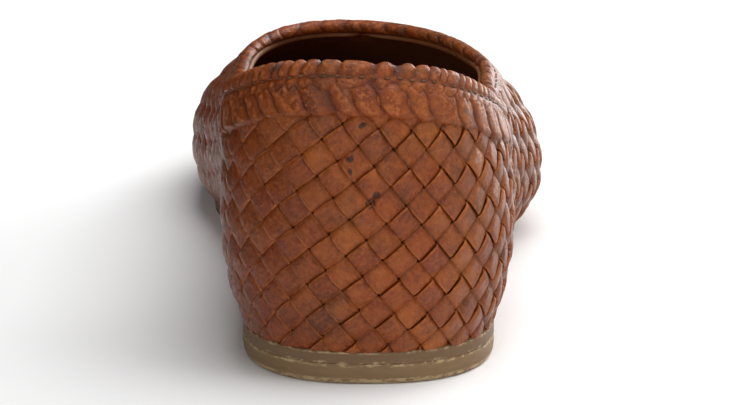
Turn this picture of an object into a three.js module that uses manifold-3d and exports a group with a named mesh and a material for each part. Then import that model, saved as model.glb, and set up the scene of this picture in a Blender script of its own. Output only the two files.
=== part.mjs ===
// Woven ballet flat, right shoe, standing empty on its sole.
// Millimetres, +Z up, toe towards +Y, outer (little toe) side towards +X.
//
// Every form is worked out from one last. A place on the last is given by its side
// (+1 outer, -1 inner), its turn round the foot (0 back of the heel, 1 side of the heel,
// 2 ball, 3 tip of the toe) and its climb, the distance up the side from the feather
// edge, where upper and sole meet.

import * as THREE from "three";
import { mergeVertices } from "three/addons/utils/BufferGeometryUtils.js";
import Module from "manifold-3d";

// Driving dimensions of the last
const HEEL_CENTRE = { x: 0, y: 35 };
const BALL_CENTRE = { x: 1, y: 161 };
const BALL_SKEW = THREE.MathUtils.degToRad(14);
const TOE_LEAN = -0.05;
const HEEL_ROUNDNESS = { sole: 2.4, bulge: 2.1 };
const TOE_ROUNDNESS = 2.25;
const TOP_ROUNDNESS = 2.15;
const RIDGE_FALL = -0.39;
const RIDGE_EASE = 0.0013;
const FEATHER_INSET = 1;
const FEATHER_ANGLE = THREE.MathUtils.degToRad(35);

// Half widths from the middle of the foot at the sole and at the widest height, that
// height over the sole, and the height over the floor where both sides would meet
const COLUMNS = ["turn", "sole", "bulge", "bulgeHeight", "crown"];
const OUTER_SIDE = table(COLUMNS, [
  [1.00, 29.6, 33.7, 26.0,  80],
  [1.25, 26.5, 33.8, 26.0,  90],
  [1.50, 27.0, 33.4, 24.0,  84],
  [1.75, 34.5, 41.0, 19.0,  63],
  [2.00, 41.5, 48.0, 13.5,  51],
]);
const INNER_SIDE = table(COLUMNS, [
  [1.00, 29.6, 33.9, 25.0, 128],
  [1.25, 25.0, 34.4, 26.0, 110],
  [1.50, 23.5, 34.2, 25.0,  84],
  [1.75, 31.5, 39.5, 20.0,  63],
  [2.00, 40.5, 46.0, 14.0,  51],
]);
const BACK = { sole: 34.6, bulge: 38.8, bulgeHeight: 28 };
const TOE = { sole: 80, bulge: 84.5, bulgeHeight: 11 };

// Height of the top line over the floor, along the shoe. Round the heel it stands higher
// on the inner side: so much for each millimetre across, easing off along the waist
const TOP_LINE = table(["y", "height"], [
  [-6, 76],
  [25, 65],
  [70, 51.5],
  [150, 55.5],
  [175, 55.5],
]);
const TOP_LINE_TILT = 0.05;
const TILT_START = 30;
const TILT_END = 80;

// Sole
const OUTSOLE_THICKNESS = 2.8;
const HEEL_SEAT_HEIGHT = 7.7;
const WAIST_START = 62;
const WAIST_END = 132;
const SPRING_START = 188;
const SPRING_AT_60 = 6;
const HEEL_BREAST = 60;
const GLUE_GAP = 0.3;
const INSOLE_THICKNESS = 2.7;
const INSOLE_INSET = 3.9;

// Woven wall
const WALL = 2.4;
const STRIP_RAISE = 0.6;
const NODE_SINK = 0.3;
const CORE_DEPTH = 4.8;
const DIAMOND = 8.55;
const HEEL_TWIST = THREE.MathUtils.degToRad(-6.4);
const QUARTER_GIRTH = 87.7;
const FIRST_NODE_CLIMB = 23.6;
const WEAVE_MARGIN = 6;
const ROOM_MARGIN = 8;
const LATTICE_SPAN = 56;
const BLOCK_HALF_WIDTH = 90;
const LEAST_EDGE = 0.03;

// Bound collar
const SCALLOPS = 40;
const STATIONS_PER_SCALLOP = 2;
const BAND_EDGE_WAVE = 0.4;
const BAND_FOOT_WAVE = 0.7;
const WEAVE_TUCK = 5;
// Section of the collar: distance down from the edge, height over the last's surface,
// and how much of the edge's and the foot's wave the point follows
const BAND_SECTION = table(["down", "out", "edgeWave", "footWave"], [
  [0.0, -1.0, 1, 0],
  [0.9,  0.4, 1, 0],
  [3.8,  0.6, 0, 0],
  [7.5,  1.3, 0, 0],
  [11.0, 1.1, 0, 1],
  [12.2, 0.0, 0, 1],
  [12.0, -2.6, 0, 0],
  [6.0, -2.9, 0, 0],
  [0.9, -2.5, 1, 0],
]);

const COLOURS = { leather: 0x8a4a2a, sole: 0x6f5640, lining: 0xa9764a };

function table(names, rows) {
  return rows.map((row) => Object.fromEntries(names.map((name, i) => [name, row[i]])));
}

// Small helpers

const clamp01 = (t) => Math.min(1, Math.max(0, t));
const smooth = (t) => clamp01(t) ** 2 * (3 - 2 * clamp01(t));
const mix = (a, b, t) => a + (b - a) * t;
const cross = (a, b) => a.x * b.y - a.y * b.x;
const dot = (a, b) => a.x * b.x + a.y * b.y;
const scaled = (a, k) => ({ x: a.x * k, y: a.y * k });
const plus = (a, b) => ({ x: a.x + b.x, y: a.y + b.y });
const minus = (a, b) => ({ x: a.x - b.x, y: a.y - b.y });
const unit = (a) => scaled(a, 1 / Math.hypot(a.x, a.y));

// Smooth curve through a table's rows, with the given slopes at its two ends
function through(rows, key, column, at, firstSlope = 0, lastSlope = 0) {
  const last = rows.length - 2;
  let i = 0;
  while (i < last && at >= rows[i + 1][key]) i += 1;
  const slope = (k) => {
    if (k === 0) return firstSlope;
    if (k === rows.length - 1) return lastSlope;
    return (rows[k + 1][column] - rows[k - 1][column]) / (rows[k + 1][key] - rows[k - 1][key]);
  };
  const [a, b] = [rows[i], rows[i + 1]];
  const h = b[key] - a[key];
  const t = clamp01((at - a[key]) / h);
  return (2 * t ** 3 - 3 * t ** 2 + 1) * a[column] + (t ** 3 - 2 * t ** 2 + t) * h * slope(i)
    + (3 * t ** 2 - 2 * t ** 3) * b[column] + (t ** 3 - t ** 2) * h * slope(i + 1);
}

// The last

const SPINE = minus(BALL_CENTRE, HEEL_CENTRE);
const TOE_WAY = unit({ x: TOE_LEAN, y: 1 });
const BALL_WAY = { x: Math.cos(BALL_SKEW), y: -Math.sin(BALL_SKEW) };
const FORWARD = { x: Math.sin(BALL_SKEW), y: Math.cos(BALL_SKEW) };
const END_TURN_IN = cross(SPINE, TOE_WAY) / cross(BALL_WAY, TOE_WAY);

const sideTable = (side) => (side > 0 ? OUTER_SIDE : INNER_SIDE);
const topLine = (y) => through(TOP_LINE, "y", "height", y);
const underEdge = (p) => {
  const tilt = TOP_LINE_TILT * (1 - smooth((p.y - TILT_START) / (TILT_END - TILT_START)));
  return topLine(p.y) - tilt * p.x - p.z;
};

// Top of the outsole: level heel seat, fall through the waist, level tread, toe spring
function soleTop(y) {
  const waist = smooth((y - WAIST_START) / (WAIST_END - WAIST_START));
  const spring = SPRING_AT_60 * (Math.max(0, y - SPRING_START) / 60) ** 2;
  return mix(HEEL_SEAT_HEIGHT, OUTSOLE_THICKNESS, waist) + spring;
}

// Point on the middle of the foot that a turn looks out from
function spine(turn) {
  return plus(HEEL_CENTRE, scaled(SPINE, clamp01(turn - 1)));
}

// From the spine to the outline at one level: a superellipse round the heel, a half
// width across the foot, and a superellipse on skewed axes round the toe
function reach(side, turn, level, inset = 0) {
  const rows = sideTable(side);
  if (turn < 1) {
    const phi = turn * Math.PI / 2;
    const n = HEEL_ROUNDNESS[level];
    const back = Math.cos(phi) / (BACK[level] - inset);
    const flank = Math.sin(phi) / (rows[0][level] - inset);
    const r = (back ** n + flank ** n) ** (-1 / n);
    return { x: side * r * Math.sin(phi), y: -r * Math.cos(phi) };
  }
  if (turn <= 2) {
    const half = through(rows, "turn", level, turn, 0, -side * END_TURN_IN) - inset;
    const angle = BALL_SKEW * smooth(turn - 1);
    return { x: side * half * Math.cos(angle), y: -side * half * Math.sin(angle) };
  }
  const phi = Math.min(1, turn - 2) * Math.PI / 2;
  const n = 2 / TOE_ROUNDNESS;
  const across = side * (rows.at(-1)[level] - inset) * Math.abs(Math.cos(phi)) ** n;
  const along = (TOE[level] - inset) * Math.abs(Math.sin(phi)) ** n;
  return plus(scaled(BALL_WAY, across), scaled(TOE_WAY, along));
}

// Height of the widest level over the sole, and of the crown over the floor
function levels(side, turn) {
  const rows = sideTable(side);
  const slope = RIDGE_FALL * Math.hypot(SPINE.x, SPINE.y);
  if (turn < 1) {
    const backCrown = (OUTER_SIDE[0].crown + INNER_SIDE[0].crown) / 2;
    return {
      bulge: mix(BACK.bulgeHeight, rows[0].bulgeHeight, smooth(turn)),
      crown: mix(backCrown, rows[0].crown, smooth(turn)),
    };
  }
  if (turn <= 2) {
    return {
      bulge: through(rows, "turn", "bulgeHeight", turn),
      crown: through(rows, "turn", "crown", turn, 0, slope),
    };
  }
  return { bulge: mix(rows.at(-1).bulgeHeight, TOE.bulgeHeight, smooth(turn - 2)), crown: rows.at(-1).crown };
}

// Section of the last from the feather edge to the crown: part of an ellipse out to the
// widest level, then a quarter superellipse up and in, which falls forward over the toe
const LOW_STEPS = 10;
const HIGH_STEPS = 44;

function section(side, turn) {
  const base = spine(turn);
  const foot = plus(base, reach(side, turn, "sole", FEATHER_INSET));
  const out = reach(side, turn, "bulge");
  const wide = plus(base, out);
  const level = levels(side, turn);
  const footHeight = soleTop(foot.y);
  const wideHeight = footHeight + level.bulge;
  const points = [];
  for (let i = 0; i <= LOW_STEPS; i += 1) {
    const a = mix(FEATHER_ANGLE, Math.PI / 2, i / LOW_STEPS);
    const k = (Math.sin(a) - Math.sin(FEATHER_ANGLE)) / (1 - Math.sin(FEATHER_ANGLE));
    const rise = (Math.cos(FEATHER_ANGLE) - Math.cos(a)) / Math.cos(FEATHER_ANGLE);
    const at = plus(foot, scaled(minus(wide, foot), k));
    points.push(new THREE.Vector3(at.x, at.y, mix(footHeight, wideHeight, rise)));
  }
  for (let i = 1; i <= HIGH_STEPS; i += 1) {
    const a = (i / HIGH_STEPS) * Math.PI / 2;
    const n = 2 / TOP_ROUNDNESS;
    const at = plus(base, scaled(out, Math.abs(Math.cos(a)) ** n));
    const forward = turn > 2 ? Math.max(0, dot(minus(at, BALL_CENTRE), FORWARD)) : 0;
    const top = level.crown + (RIDGE_FALL + RIDGE_EASE * forward) * forward;
    points.push(new THREE.Vector3(at.x, at.y, mix(wideHeight, top, Math.sin(a) ** n)));
  }
  return points;
}

function lengthOf(points) {
  let sum = 0;
  for (let i = 1; i < points.length; i += 1) sum += points[i].distanceTo(points[i - 1]);
  return sum;
}

// Point of a section at a climb; under the feather edge it goes straight down
function climbTo(points, climb) {
  if (climb < 0) return points[0].clone().add(new THREE.Vector3(0, 0, climb));
  let left = climb;
  for (let i = 1; i < points.length; i += 1) {
    const step = points[i].distanceTo(points[i - 1]);
    if (left <= step) return points[i - 1].clone().lerp(points[i], left / step);
    left -= step;
  }
  return points.at(-1).clone();
}

// The upper laid flat. The middle of the foot is the line from heel to ball centre, the
// vamp lies round its end, and the two quarters run back beside it as straight legs,
// whose ends meet in the back seam. Strips are straight in this plane.

const HEEL_STEPS = 64;
const heelArc = Object.fromEntries([1, -1].map((side) => {
  const arc = [0];
  for (let i = 1; i <= HEEL_STEPS; i += 1) {
    const a = reach(side, (i - 1) / HEEL_STEPS, "bulge");
    const b = reach(side, i / HEEL_STEPS, "bulge");
    arc.push(arc[i - 1] + Math.hypot(b.x - a.x, b.y - a.y));
  }
  return [side, arc];
}));
const HEEL_LENGTH = (heelArc[1].at(-1) + heelArc[-1].at(-1)) / 2;
const SEAM = HEEL_CENTRE.y - HEEL_LENGTH;

// Turn at a distance round from the back seam, and the other way round
function heelTurn(side, distance) {
  const arc = heelArc[side];
  const want = clamp01(distance / HEEL_LENGTH) * arc.at(-1);
  let i = 1;
  while (i < HEEL_STEPS && arc[i] < want) i += 1;
  return (i - 1 + (want - arc[i - 1]) / (arc[i] - arc[i - 1])) / HEEL_STEPS;
}

function heelDistance(side, turn) {
  const arc = heelArc[side];
  const i = Math.min(HEEL_STEPS - 1, Math.floor(turn * HEEL_STEPS));
  const length = mix(arc[i], arc[i + 1], turn * HEEL_STEPS - i);
  return length * HEEL_LENGTH / arc.at(-1);
}

// Twist of the weave round the heel, which dies away at the sides
const twist = (q) => Math.sin(HEEL_TWIST) * (1 - Math.min(1, (q / HEEL_LENGTH) ** 2)) ** 2;

// Half girth of the weave: one value along the quarters, the last's own over the vamp
function girth(side, turn, points = section(side, turn)) {
  return mix(QUARTER_GIRTH, lengthOf(points), smooth((turn - 1.45) / 0.35));
}

const outward = (side, turn) => unit(reach(side, turn, "bulge"));

// From a signed leg, turn and climb to the flat plane
function toFlat(leg, side, turn, climb) {
  if (turn < 1) {
    const q = side * heelDistance(side, turn);
    const around = q + climb * twist(q);
    const up = climb - q * twist(q);
    return { x: leg * (QUARTER_GIRTH - up), y: SEAM + leg * around };
  }
  return plus(spine(turn), scaled(outward(side, turn), girth(side, turn) - climb));
}

// Line along the middle of the flat plane, which divides the two sides
function middleAt(y) {
  if (y < HEEL_CENTRE.y) return HEEL_CENTRE.x;
  if (y < BALL_CENTRE.y) return mix(HEEL_CENTRE.x, BALL_CENTRE.x, (y - HEEL_CENTRE.y) / SPINE.y);
  return BALL_CENTRE.x + TOE_LEAN * (y - BALL_CENTRE.y);
}

// From the flat plane to side, turn and climb
function fromFlat(flat) {
  const leg = flat.x < middleAt(flat.y) ? -1 : 1;
  if (flat.y < HEEL_CENTRE.y) {
    const around = leg * (flat.y - SEAM);
    const up = QUARTER_GIRTH - Math.abs(flat.x);
    let q = around;
    let climb = up;
    for (let i = 0; i < 30; i += 1) {
      climb = up + q * twist(q);
      q = around - climb * twist(q);
    }
    const side = q < 0 ? -1 : 1;
    return { side, turn: heelTurn(side, Math.abs(q)), climb };
  }
  let [low, high] = [1, 3];
  for (let i = 0; i < 44; i += 1) {
    const turn = (low + high) / 2;
    const ahead = leg * cross(outward(leg, turn), minus(flat, spine(turn)));
    if (ahead > 0) low = turn;
    else high = turn;
  }
  const turn = (low + high) / 2;
  const points = section(leg, turn);
  const g = dot(minus(flat, spine(turn)), outward(leg, turn));
  return { side: leg, turn, climb: girth(leg, turn, points) - g };
}

function onLast(flat) {
  const { side, turn, climb } = fromFlat(flat);
  return climbTo(section(side, turn), climb);
}

// Point over the last's surface, with the normal from two small steps in the plane
function overLast(flat, out) {
  const step = 0.4;
  const at = onLast(flat);
  const a = onLast({ x: flat.x + step, y: flat.y }).sub(onLast({ x: flat.x - step, y: flat.y }));
  const b = onLast({ x: flat.x, y: flat.y + step }).sub(onLast({ x: flat.x, y: flat.y - step }));
  const normal = a.cross(b).normalize();
  const { turn } = fromFlat(flat);
  const base = spine(turn);
  const inside = new THREE.Vector3(base.x, base.y, 20);
  if (normal.dot(at.clone().sub(inside)) < 0) normal.negate();
  return (Array.isArray(out) ? out : [out]).map((k) => at.clone().addScaledVector(normal, k));
}

// Solids

// Triangles with shared corners merged, and those that collapse left out
function geometryOf(triangles) {
  const geometry = new THREE.BufferGeometry();
  const flat = triangles.flatMap((corner) => [corner.x, corner.y, corner.z]);
  geometry.setAttribute("position", new THREE.Float32BufferAttribute(flat, 3));
  const merged = mergeVertices(geometry, 1e-4);
  const index = [];
  for (let i = 0; i < merged.index.count; i += 3) {
    const [a, b, c] = [0, 1, 2].map((k) => merged.index.getX(i + k));
    if (a !== b && b !== c && c !== a) index.push(a, b, c);
  }
  merged.setIndex(index);
  return merged;
}

const wasm = await Module();
wasm.setup();

function toSolid(geometry) {
  return new wasm.Manifold(new wasm.Mesh({
    numProp: 3,
    vertProperties: new Float32Array(geometry.getAttribute("position").array),
    triVerts: new Uint32Array(geometry.index.array),
  }));
}

function toGeometry(solid) {
  const mesh = solid.getMesh();
  const corners = Array.from({ length: mesh.numVert }, (_, i) => (
    new THREE.Vector3().fromArray(mesh.vertProperties, i * mesh.numProp)));
  return geometryOf(withoutShortEdges(corners, [...mesh.triVerts]).map((i) => corners[i]));
}

// Triangles with each edge under the least length drawn together to one corner, where
// the two corners have only the edge's own two triangles in common
function withoutShortEdges(corners, triangles) {
  const near = corners.map(() => new Set());
  for (let i = 0; i < triangles.length; i += 1) near[triangles[i]].add(i - (i % 3));
  const cornersOf = (face) => triangles.slice(face, face + 3);
  const ring = (v) => new Set([...near[v]].flatMap(cornersOf));
  for (let from = 0; from < corners.length; from += 1) {
    for (const to of ring(from)) {
      if (to === from || corners[to].distanceTo(corners[from]) > LEAST_EDGE) continue;
      const around = ring(to);
      const shared = [...ring(from)].filter((v) => around.has(v));
      if (shared.length !== 4) continue;
      for (const face of near[from]) {
        const gone = cornersOf(face).includes(to);
        for (const v of cornersOf(face)) if (gone) near[v].delete(face);
        for (let k = face; k < face + 3; k += 1) {
          if (gone) triangles[k] = -1;
          else if (triangles[k] === from) triangles[k] = to;
        }
        if (!gone) near[to].add(face);
      }
      near[from].clear();
      break;
    }
  }
  return triangles.filter((v) => v >= 0);
}

// Closed solid through rings of equal length, with its two ends closed by end strips.
// Rings go round the outline from the heel, up the outer side and back down the inner
function stack(rings) {
  const triangles = [];
  const n = rings[0].length;
  for (let k = 0; k + 1 < rings.length; k += 1) {
    for (let i = 0; i < n; i += 1) {
      const j = (i + 1) % n;
      triangles.push(rings[k][i], rings[k][j], rings[k + 1][j]);
      triangles.push(rings[k][i], rings[k + 1][j], rings[k + 1][i]);
    }
  }
  triangles.push(...lid(rings.at(-1)));
  triangles.push(...lid(rings[0]).reverse());
  return triangles;
}

// Lid across a ring: strips from the outer point to the inner point of the same turn
function lid(ring) {
  const n = ring.length;
  const triangles = [];
  for (let i = 0; i < n / 2; i += 1) {
    const [a, b] = [ring[i], ring[i + 1]];
    const [c, d] = [ring[(n - i) % n], ring[n - i - 1]];
    if (a !== c) triangles.push(a, b, c);
    if (b !== d) triangles.push(b, d, c);
  }
  return triangles;
}

// Turns round half an outline, so many in the heel, the side and the toe
function turnsIn(...counts) {
  const turns = counts.flatMap((count, part) => Array.from({ length: count }, (_, i) => part + i / count));
  return [...turns, 3];
}

// Whole outline at one inset, as a ring with its heights from a function of y
function outline(turns, inset, height) {
  const at = (side, turn) => plus(spine(turn), reach(side, turn, "sole", inset));
  const outer = turns.map((turn) => at(1, turn));
  const inner = turns.slice(1, -1).map((turn) => at(-1, turn)).reverse();
  return [...outer, ...inner].map((p) => new THREE.Vector3(p.x, p.y, height(p.y)));
}

function outsole() {
  const edge = 0.7;
  const turns = turnsIn(12, 14, 12);
  const bottom = (y) => soleTop(y) - OUTSOLE_THICKNESS;
  return geometryOf(stack([
    outline(turns, edge, bottom),
    outline(turns, 0, (y) => bottom(y) + edge),
    outline(turns, 0, (y) => soleTop(y) - edge / 2),
    outline(turns, edge / 2, soleTop),
  ]));
}

function insole() {
  const edge = 0.6;
  const turns = turnsIn(9, 11, 9);
  const bottom = (y) => soleTop(y) + GLUE_GAP;
  return geometryOf(stack([
    outline(turns, INSOLE_INSET, bottom),
    outline(turns, INSOLE_INSET, (y) => bottom(y) + INSOLE_THICKNESS - edge),
    outline(turns, INSOLE_INSET + edge, (y) => bottom(y) + INSOLE_THICKNESS),
  ]));
}

// Turn on a side where the sole's outline reaches the heel breast
function breastTurn(side) {
  let [low, high] = [1, 2];
  for (let i = 0; i < 40; i += 1) {
    const turn = (low + high) / 2;
    if (spine(turn).y + reach(side, turn, "sole").y < HEEL_BREAST) low = turn;
    else high = turn;
  }
  return low;
}

function heelLift() {
  const steps = 15;
  const ring = (inset, height) => {
    const half = (side) => {
      const end = breastTurn(side);
      return Array.from({ length: steps + 1 }, (_, i) => {
        const turn = end * i / steps;
        const p = plus(spine(turn), reach(side, turn, "sole", inset));
        return new THREE.Vector3(p.x, Math.min(p.y, HEEL_BREAST - inset), height);
      });
    };
    const outer = half(1);
    const inner = half(-1).slice(1).reverse();
    return [...outer, ...inner];
  };
  const top = HEEL_SEAT_HEIGHT - OUTSOLE_THICKNESS - GLUE_GAP;
  const rings = [ring(1.4, 0), ring(0.4, 0.9), ring(0, 2.2), ring(0, top - 0.3), ring(0.3, top)];
  const triangles = [];
  const n = rings[0].length;
  for (let k = 0; k + 1 < rings.length; k += 1) {
    for (let i = 0; i < n; i += 1) {
      const j = (i + 1) % n;
      triangles.push(rings[k][i], rings[k][j], rings[k + 1][j]);
      triangles.push(rings[k][i], rings[k + 1][j], rings[k + 1][i]);
    }
  }
  const cap = (r) => {
    const faces = [];
    for (let i = 0; i < steps; i += 1) {
      const [a, b, c, d] = [r[i], r[i + 1], r[(n - i) % n], r[n - i - 1]];
      if (i > 0) faces.push(a, b, c);
      faces.push(b, d, c);
    }
    return faces;
  };
  triangles.push(...cap(rings.at(-1)), ...cap(rings[0]).reverse());
  return geometryOf(triangles);
}

// Weave. A strip of the first family fills the band between two whole values of the
// first number, and the second family likewise. On an even cell the first is on top.

const NODE_X = QUARTER_GIRTH - FIRST_NODE_CLIMB;
const FIRST_START = NODE_X + SEAM - DIAMOND;
const SECOND_START = NODE_X - SEAM;
const TIE = 1e-6;

function latticePoint(first, second) {
  const sum = first * DIAMOND + FIRST_START;
  const difference = second * DIAMOND + SECOND_START;
  return { x: (sum + difference) / 2, y: (sum - difference) / 2 };
}

// The two legs meet in the back seam turned half round, so a point past the end of one
// leg is moved to the other
function acrossSeam(flat) {
  const past = flat.y < SEAM - TIE || (flat.y < SEAM + TIE && flat.x < 0);
  return past ? { x: -flat.x, y: 2 * SEAM - flat.y } : flat;
}

// A cell is woven where its middle lies between the sole and the top line
function isWoven(flat) {
  if (flat.y < SEAM + (flat.x > 0 ? -TIE : TIE)) return false;
  if (flat.y < HEEL_CENTRE.y && Math.abs(flat.x) < DIAMOND) return false;
  const { climb } = fromFlat(flat);
  if (climb < -WEAVE_MARGIN || climb > QUARTER_GIRTH * 1.3) return false;
  const at = onLast(flat);
  return at.z < topLine(at.y) - WEAVE_TUCK + WEAVE_MARGIN;
}

// Weave as one thick sheet. On top of each cell its strip arches up to the middle of its
// own two edges and stands over the neighbouring strips there
function wovenWall() {
  const cache = new Map();
  const place = (first, second) => {
    const key = `${first},${second}`;
    if (!cache.has(key)) {
      const at = acrossSeam(latticePoint(first, second));
      const [node, raised, inner] = overLast(at, [-NODE_SINK, STRIP_RAISE, -CORE_DEPTH]);
      cache.set(key, { node, raised, inner });
    }
    return cache.get(key);
  };
  const triangles = [];
  const edges = new Map();
  const keyOf = (p) => [p.x, p.y, p.z].map((v) => v.toFixed(3)).join(" ");
  for (let i = -LATTICE_SPAN; i < LATTICE_SPAN; i += 1) {
    for (let j = -LATTICE_SPAN; j < LATTICE_SPAN; j += 1) {
      if (!isWoven(latticePoint(i + 0.5, j + 0.5))) continue;
      const ring = [place(i, j), place(i, j + 1), place(i + 1, j + 1), place(i + 1, j)];
      const firstOnTop = (i + j) % 2 === 0;
      const left = firstOnTop ? place(i, j + 0.5) : place(i + 0.5, j + 1);
      const right = firstOnTop ? place(i + 1, j + 0.5) : place(i + 0.5, j);
      const [a, b, c, d] = firstOnTop ? ring : [ring[1], ring[2], ring[3], ring[0]];
      const [l, r] = [left.raised, right.raised];
      triangles.push(a.node, l, r, a.node, r, d.node, l, b.node, c.node, l, c.node, r);
      triangles.push(a.node, b.node, l, c.node, d.node, r);
      triangles.push(a.inner, c.inner, b.inner, a.inner, d.inner, c.inner);
      ring.forEach((from, k) => {
        const to = ring[(k + 1) % 4];
        edges.set(`${keyOf(from.inner)}>${keyOf(to.inner)}`, [from, to]);
      });
    }
  }
  for (const [key, [from, to]] of edges) {
    const [a, b] = key.split(">");
    if (edges.has(`${b}>${a}`)) continue;
    triangles.push(to.node, from.node, from.inner, to.node, from.inner, to.inner);
  }
  return geometryOf(triangles);
}

// Block that fills one side view outline across the whole width
function sideBlock(profile) {
  const shape = new THREE.Shape(profile.map(([y, z]) => new THREE.Vector2(y, z)));
  const block = new THREE.ExtrudeGeometry(shape, { depth: 2 * BLOCK_HALF_WIDTH, bevelEnabled: false });
  block.applyMatrix4(new THREE.Matrix4().makeBasis(
    new THREE.Vector3(0, 1, 0), new THREE.Vector3(0, 0, 1), new THREE.Vector3(1, 0, 0),
  ));
  block.translate(-BLOCK_HALF_WIDTH, 0, 0);
  block.deleteAttribute("normal");
  block.deleteAttribute("uv");
  return mergeVertices(block, 1e-4);
}

function lineAlong(from, to, step, height) {
  const points = [];
  for (let y = from; y < to; y += step) points.push([y, height(y)]);
  points.push([to, height(to)]);
  return points;
}

// The top line as a closed row of places on the flat plane: up the outer side to the
// throat and back down the inner side, each with its way down, across the line
function topLineRow() {
  const steps = 700;
  const half = (side) => {
    const row = [];
    for (let i = 0; i <= steps; i += 1) {
      const turn = 2.2 * i / steps;
      const points = section(side, turn);
      const k = points.findIndex((p) => underEdge(p) < 0);
      if (k < 1) break;
      const [a, b] = [points[k - 1], points[k]];
      const [under, over] = [underEdge(a), -underEdge(b)];
      const at = a.clone().lerp(b, under / (under + over));
      const climb = lengthOf(points.slice(0, k)) + at.distanceTo(a);
      row.push({ at, flat: toFlat(side, side, turn, climb) });
    }
    row.forEach((place, i) => {
      const before = row[Math.max(0, i - 3)].flat;
      const after = row[Math.min(row.length - 1, i + 3)].flat;
      const way = scaled(unit(minus(after, before)), side);
      place.down = { x: way.y, y: -way.x };
    });
    return row;
  };
  return [...half(1), ...half(-1).reverse().slice(0, -1)];
}

// Bound edge: its section carried round the top line, with a scallop for each strip
// that folds over the edge and a step for each plait that ends below it
function collarBand() {
  const row = topLineRow();
  const n = row.length;
  const lengths = [0];
  for (let i = 1; i <= n; i += 1) lengths.push(lengths[i - 1] + row[i % n].at.distanceTo(row[i - 1].at));
  const stations = SCALLOPS * STATIONS_PER_SCALLOP;
  const rings = [];
  let i = 1;
  for (let k = 0; k < stations; k += 1) {
    const want = lengths[n] * k / stations;
    while (lengths[i] < want) i += 1;
    const { flat, down } = row[i - 1];
    const wave = Math.cos(2 * Math.PI * k / STATIONS_PER_SCALLOP);
    rings.push(BAND_SECTION.map((point) => {
      const w = point.down + wave * (point.edgeWave * BAND_EDGE_WAVE + point.footWave * BAND_FOOT_WAVE);
      return overLast(plus(flat, scaled(down, w + BAND_EDGE_WAVE)), point.out)[0];
    }));
  }
  const triangles = [];
  const m = BAND_SECTION.length;
  for (let k = 0; k < stations; k += 1) {
    const [a, b] = [rings[k], rings[(k + 1) % stations]];
    for (let p = 0; p < m; p += 1) {
      const q = (p + 1) % m;
      triangles.push(a[p], a[q], b[q], a[p], b[q], b[p]);
    }
  }
  return geometryOf(triangles);
}

// Room inside the wall, from under the seat to over the top line
function inside() {
  const turns = turnsIn(8, 9, 10);
  const steps = 8;
  const columns = (side) => turns.map((turn) => {
    const points = section(side, turn);
    const over = points.findIndex((p) => p.z > topLine(p.y) + ROOM_MARGIN);
    const top = over < 1 ? lengthOf(points) : lengthOf(points.slice(0, over + 1));
    return Array.from({ length: steps + 1 }, (_, i) => {
      const climb = mix(-WEAVE_MARGIN, top, i / steps);
      return overLast(toFlat(side, side, turn, climb), -WALL)[0];
    });
  });
  const [outer, inner] = [columns(1), columns(-1)];
  const around = [...outer, ...inner.slice(1, -1).reverse()];
  const rings = Array.from({ length: steps + 1 }, (_, i) => around.map((column) => column[i]));
  return geometryOf(stack(rings));
}

// One wall: the weave between sole and collar, with the bound edge on it
function upper() {
  const [back, front, low, high] = [-40, 290, -40, 220];
  const tuckLine = lineAlong(back, front, 5, (y) => topLine(y) - WEAVE_TUCK);
  const aboveCollar = sideBlock([...tuckLine, [front, high], [back, high]]);
  const seat = lineAlong(back, front, 5, (y) => soleTop(y) + GLUE_GAP);
  const belowSole = sideBlock([[back, low], [front, low], ...seat.reverse()]);
  const wall = toSolid(wovenWall())
    .subtract(toSolid(inside()))
    .subtract(toSolid(aboveCollar))
    .subtract(toSolid(belowSole));
  return toGeometry(wall.add(toSolid(collarBand())));
}

// Assembly, with the origin on the floor under the middle of length and width

const material = (color, roughness) => new THREE.MeshStandardMaterial({ color, roughness, metalness: 0 });
const leather = material(COLOURS.leather, 0.5);
const rubber = material(COLOURS.sole, 0.8);
const lining = material(COLOURS.lining, 0.7);

const shoe = new THREE.Group();
const pieces = [
  ["outsole", outsole(), rubber],
  ["heel_lift", heelLift(), rubber],
  ["upper", upper(), leather],
  ["insole", insole(), lining],
];
for (const [name, geometry, finish] of pieces) {
  const mesh = new THREE.Mesh(geometry, finish);
  mesh.name = name;
  shoe.add(mesh);
}
const middle = new THREE.Box3().setFromObject(shoe).getCenter(new THREE.Vector3());
shoe.position.set(-middle.x, -middle.y, 0);

export default shoe;
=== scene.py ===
"""Looks of the woven ballet flat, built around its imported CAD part.

The shapes are worked out on the same last as the CAD, in millimetres, with the toe towards
+Y and the outer side towards +X. A place on the last is a side (+1 outer, -1 inner), a turn
round the foot (0 back of the heel, 1 side of the heel, 2 ball, 3 tip of the toe) and a climb,
the distance up from the feather edge. put_in() turns millimetres into metres of the frame.
"""
import math

import bpy
import numpy as np
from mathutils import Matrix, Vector


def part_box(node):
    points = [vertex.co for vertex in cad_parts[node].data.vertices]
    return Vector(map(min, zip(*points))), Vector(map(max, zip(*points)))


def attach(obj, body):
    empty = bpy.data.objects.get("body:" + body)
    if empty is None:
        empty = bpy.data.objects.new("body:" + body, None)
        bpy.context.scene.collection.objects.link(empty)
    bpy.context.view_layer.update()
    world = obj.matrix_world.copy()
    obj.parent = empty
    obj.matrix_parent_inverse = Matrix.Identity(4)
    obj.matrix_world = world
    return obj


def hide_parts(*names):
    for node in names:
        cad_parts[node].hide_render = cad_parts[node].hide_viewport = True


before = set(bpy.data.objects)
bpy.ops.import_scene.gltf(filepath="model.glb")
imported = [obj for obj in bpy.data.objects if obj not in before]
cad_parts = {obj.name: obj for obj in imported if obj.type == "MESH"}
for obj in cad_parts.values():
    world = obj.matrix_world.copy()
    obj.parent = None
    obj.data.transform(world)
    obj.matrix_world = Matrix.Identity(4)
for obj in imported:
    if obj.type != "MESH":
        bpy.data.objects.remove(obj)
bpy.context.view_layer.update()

# The last: sizes in millimetres, roundness as the power of a superellipse

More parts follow.
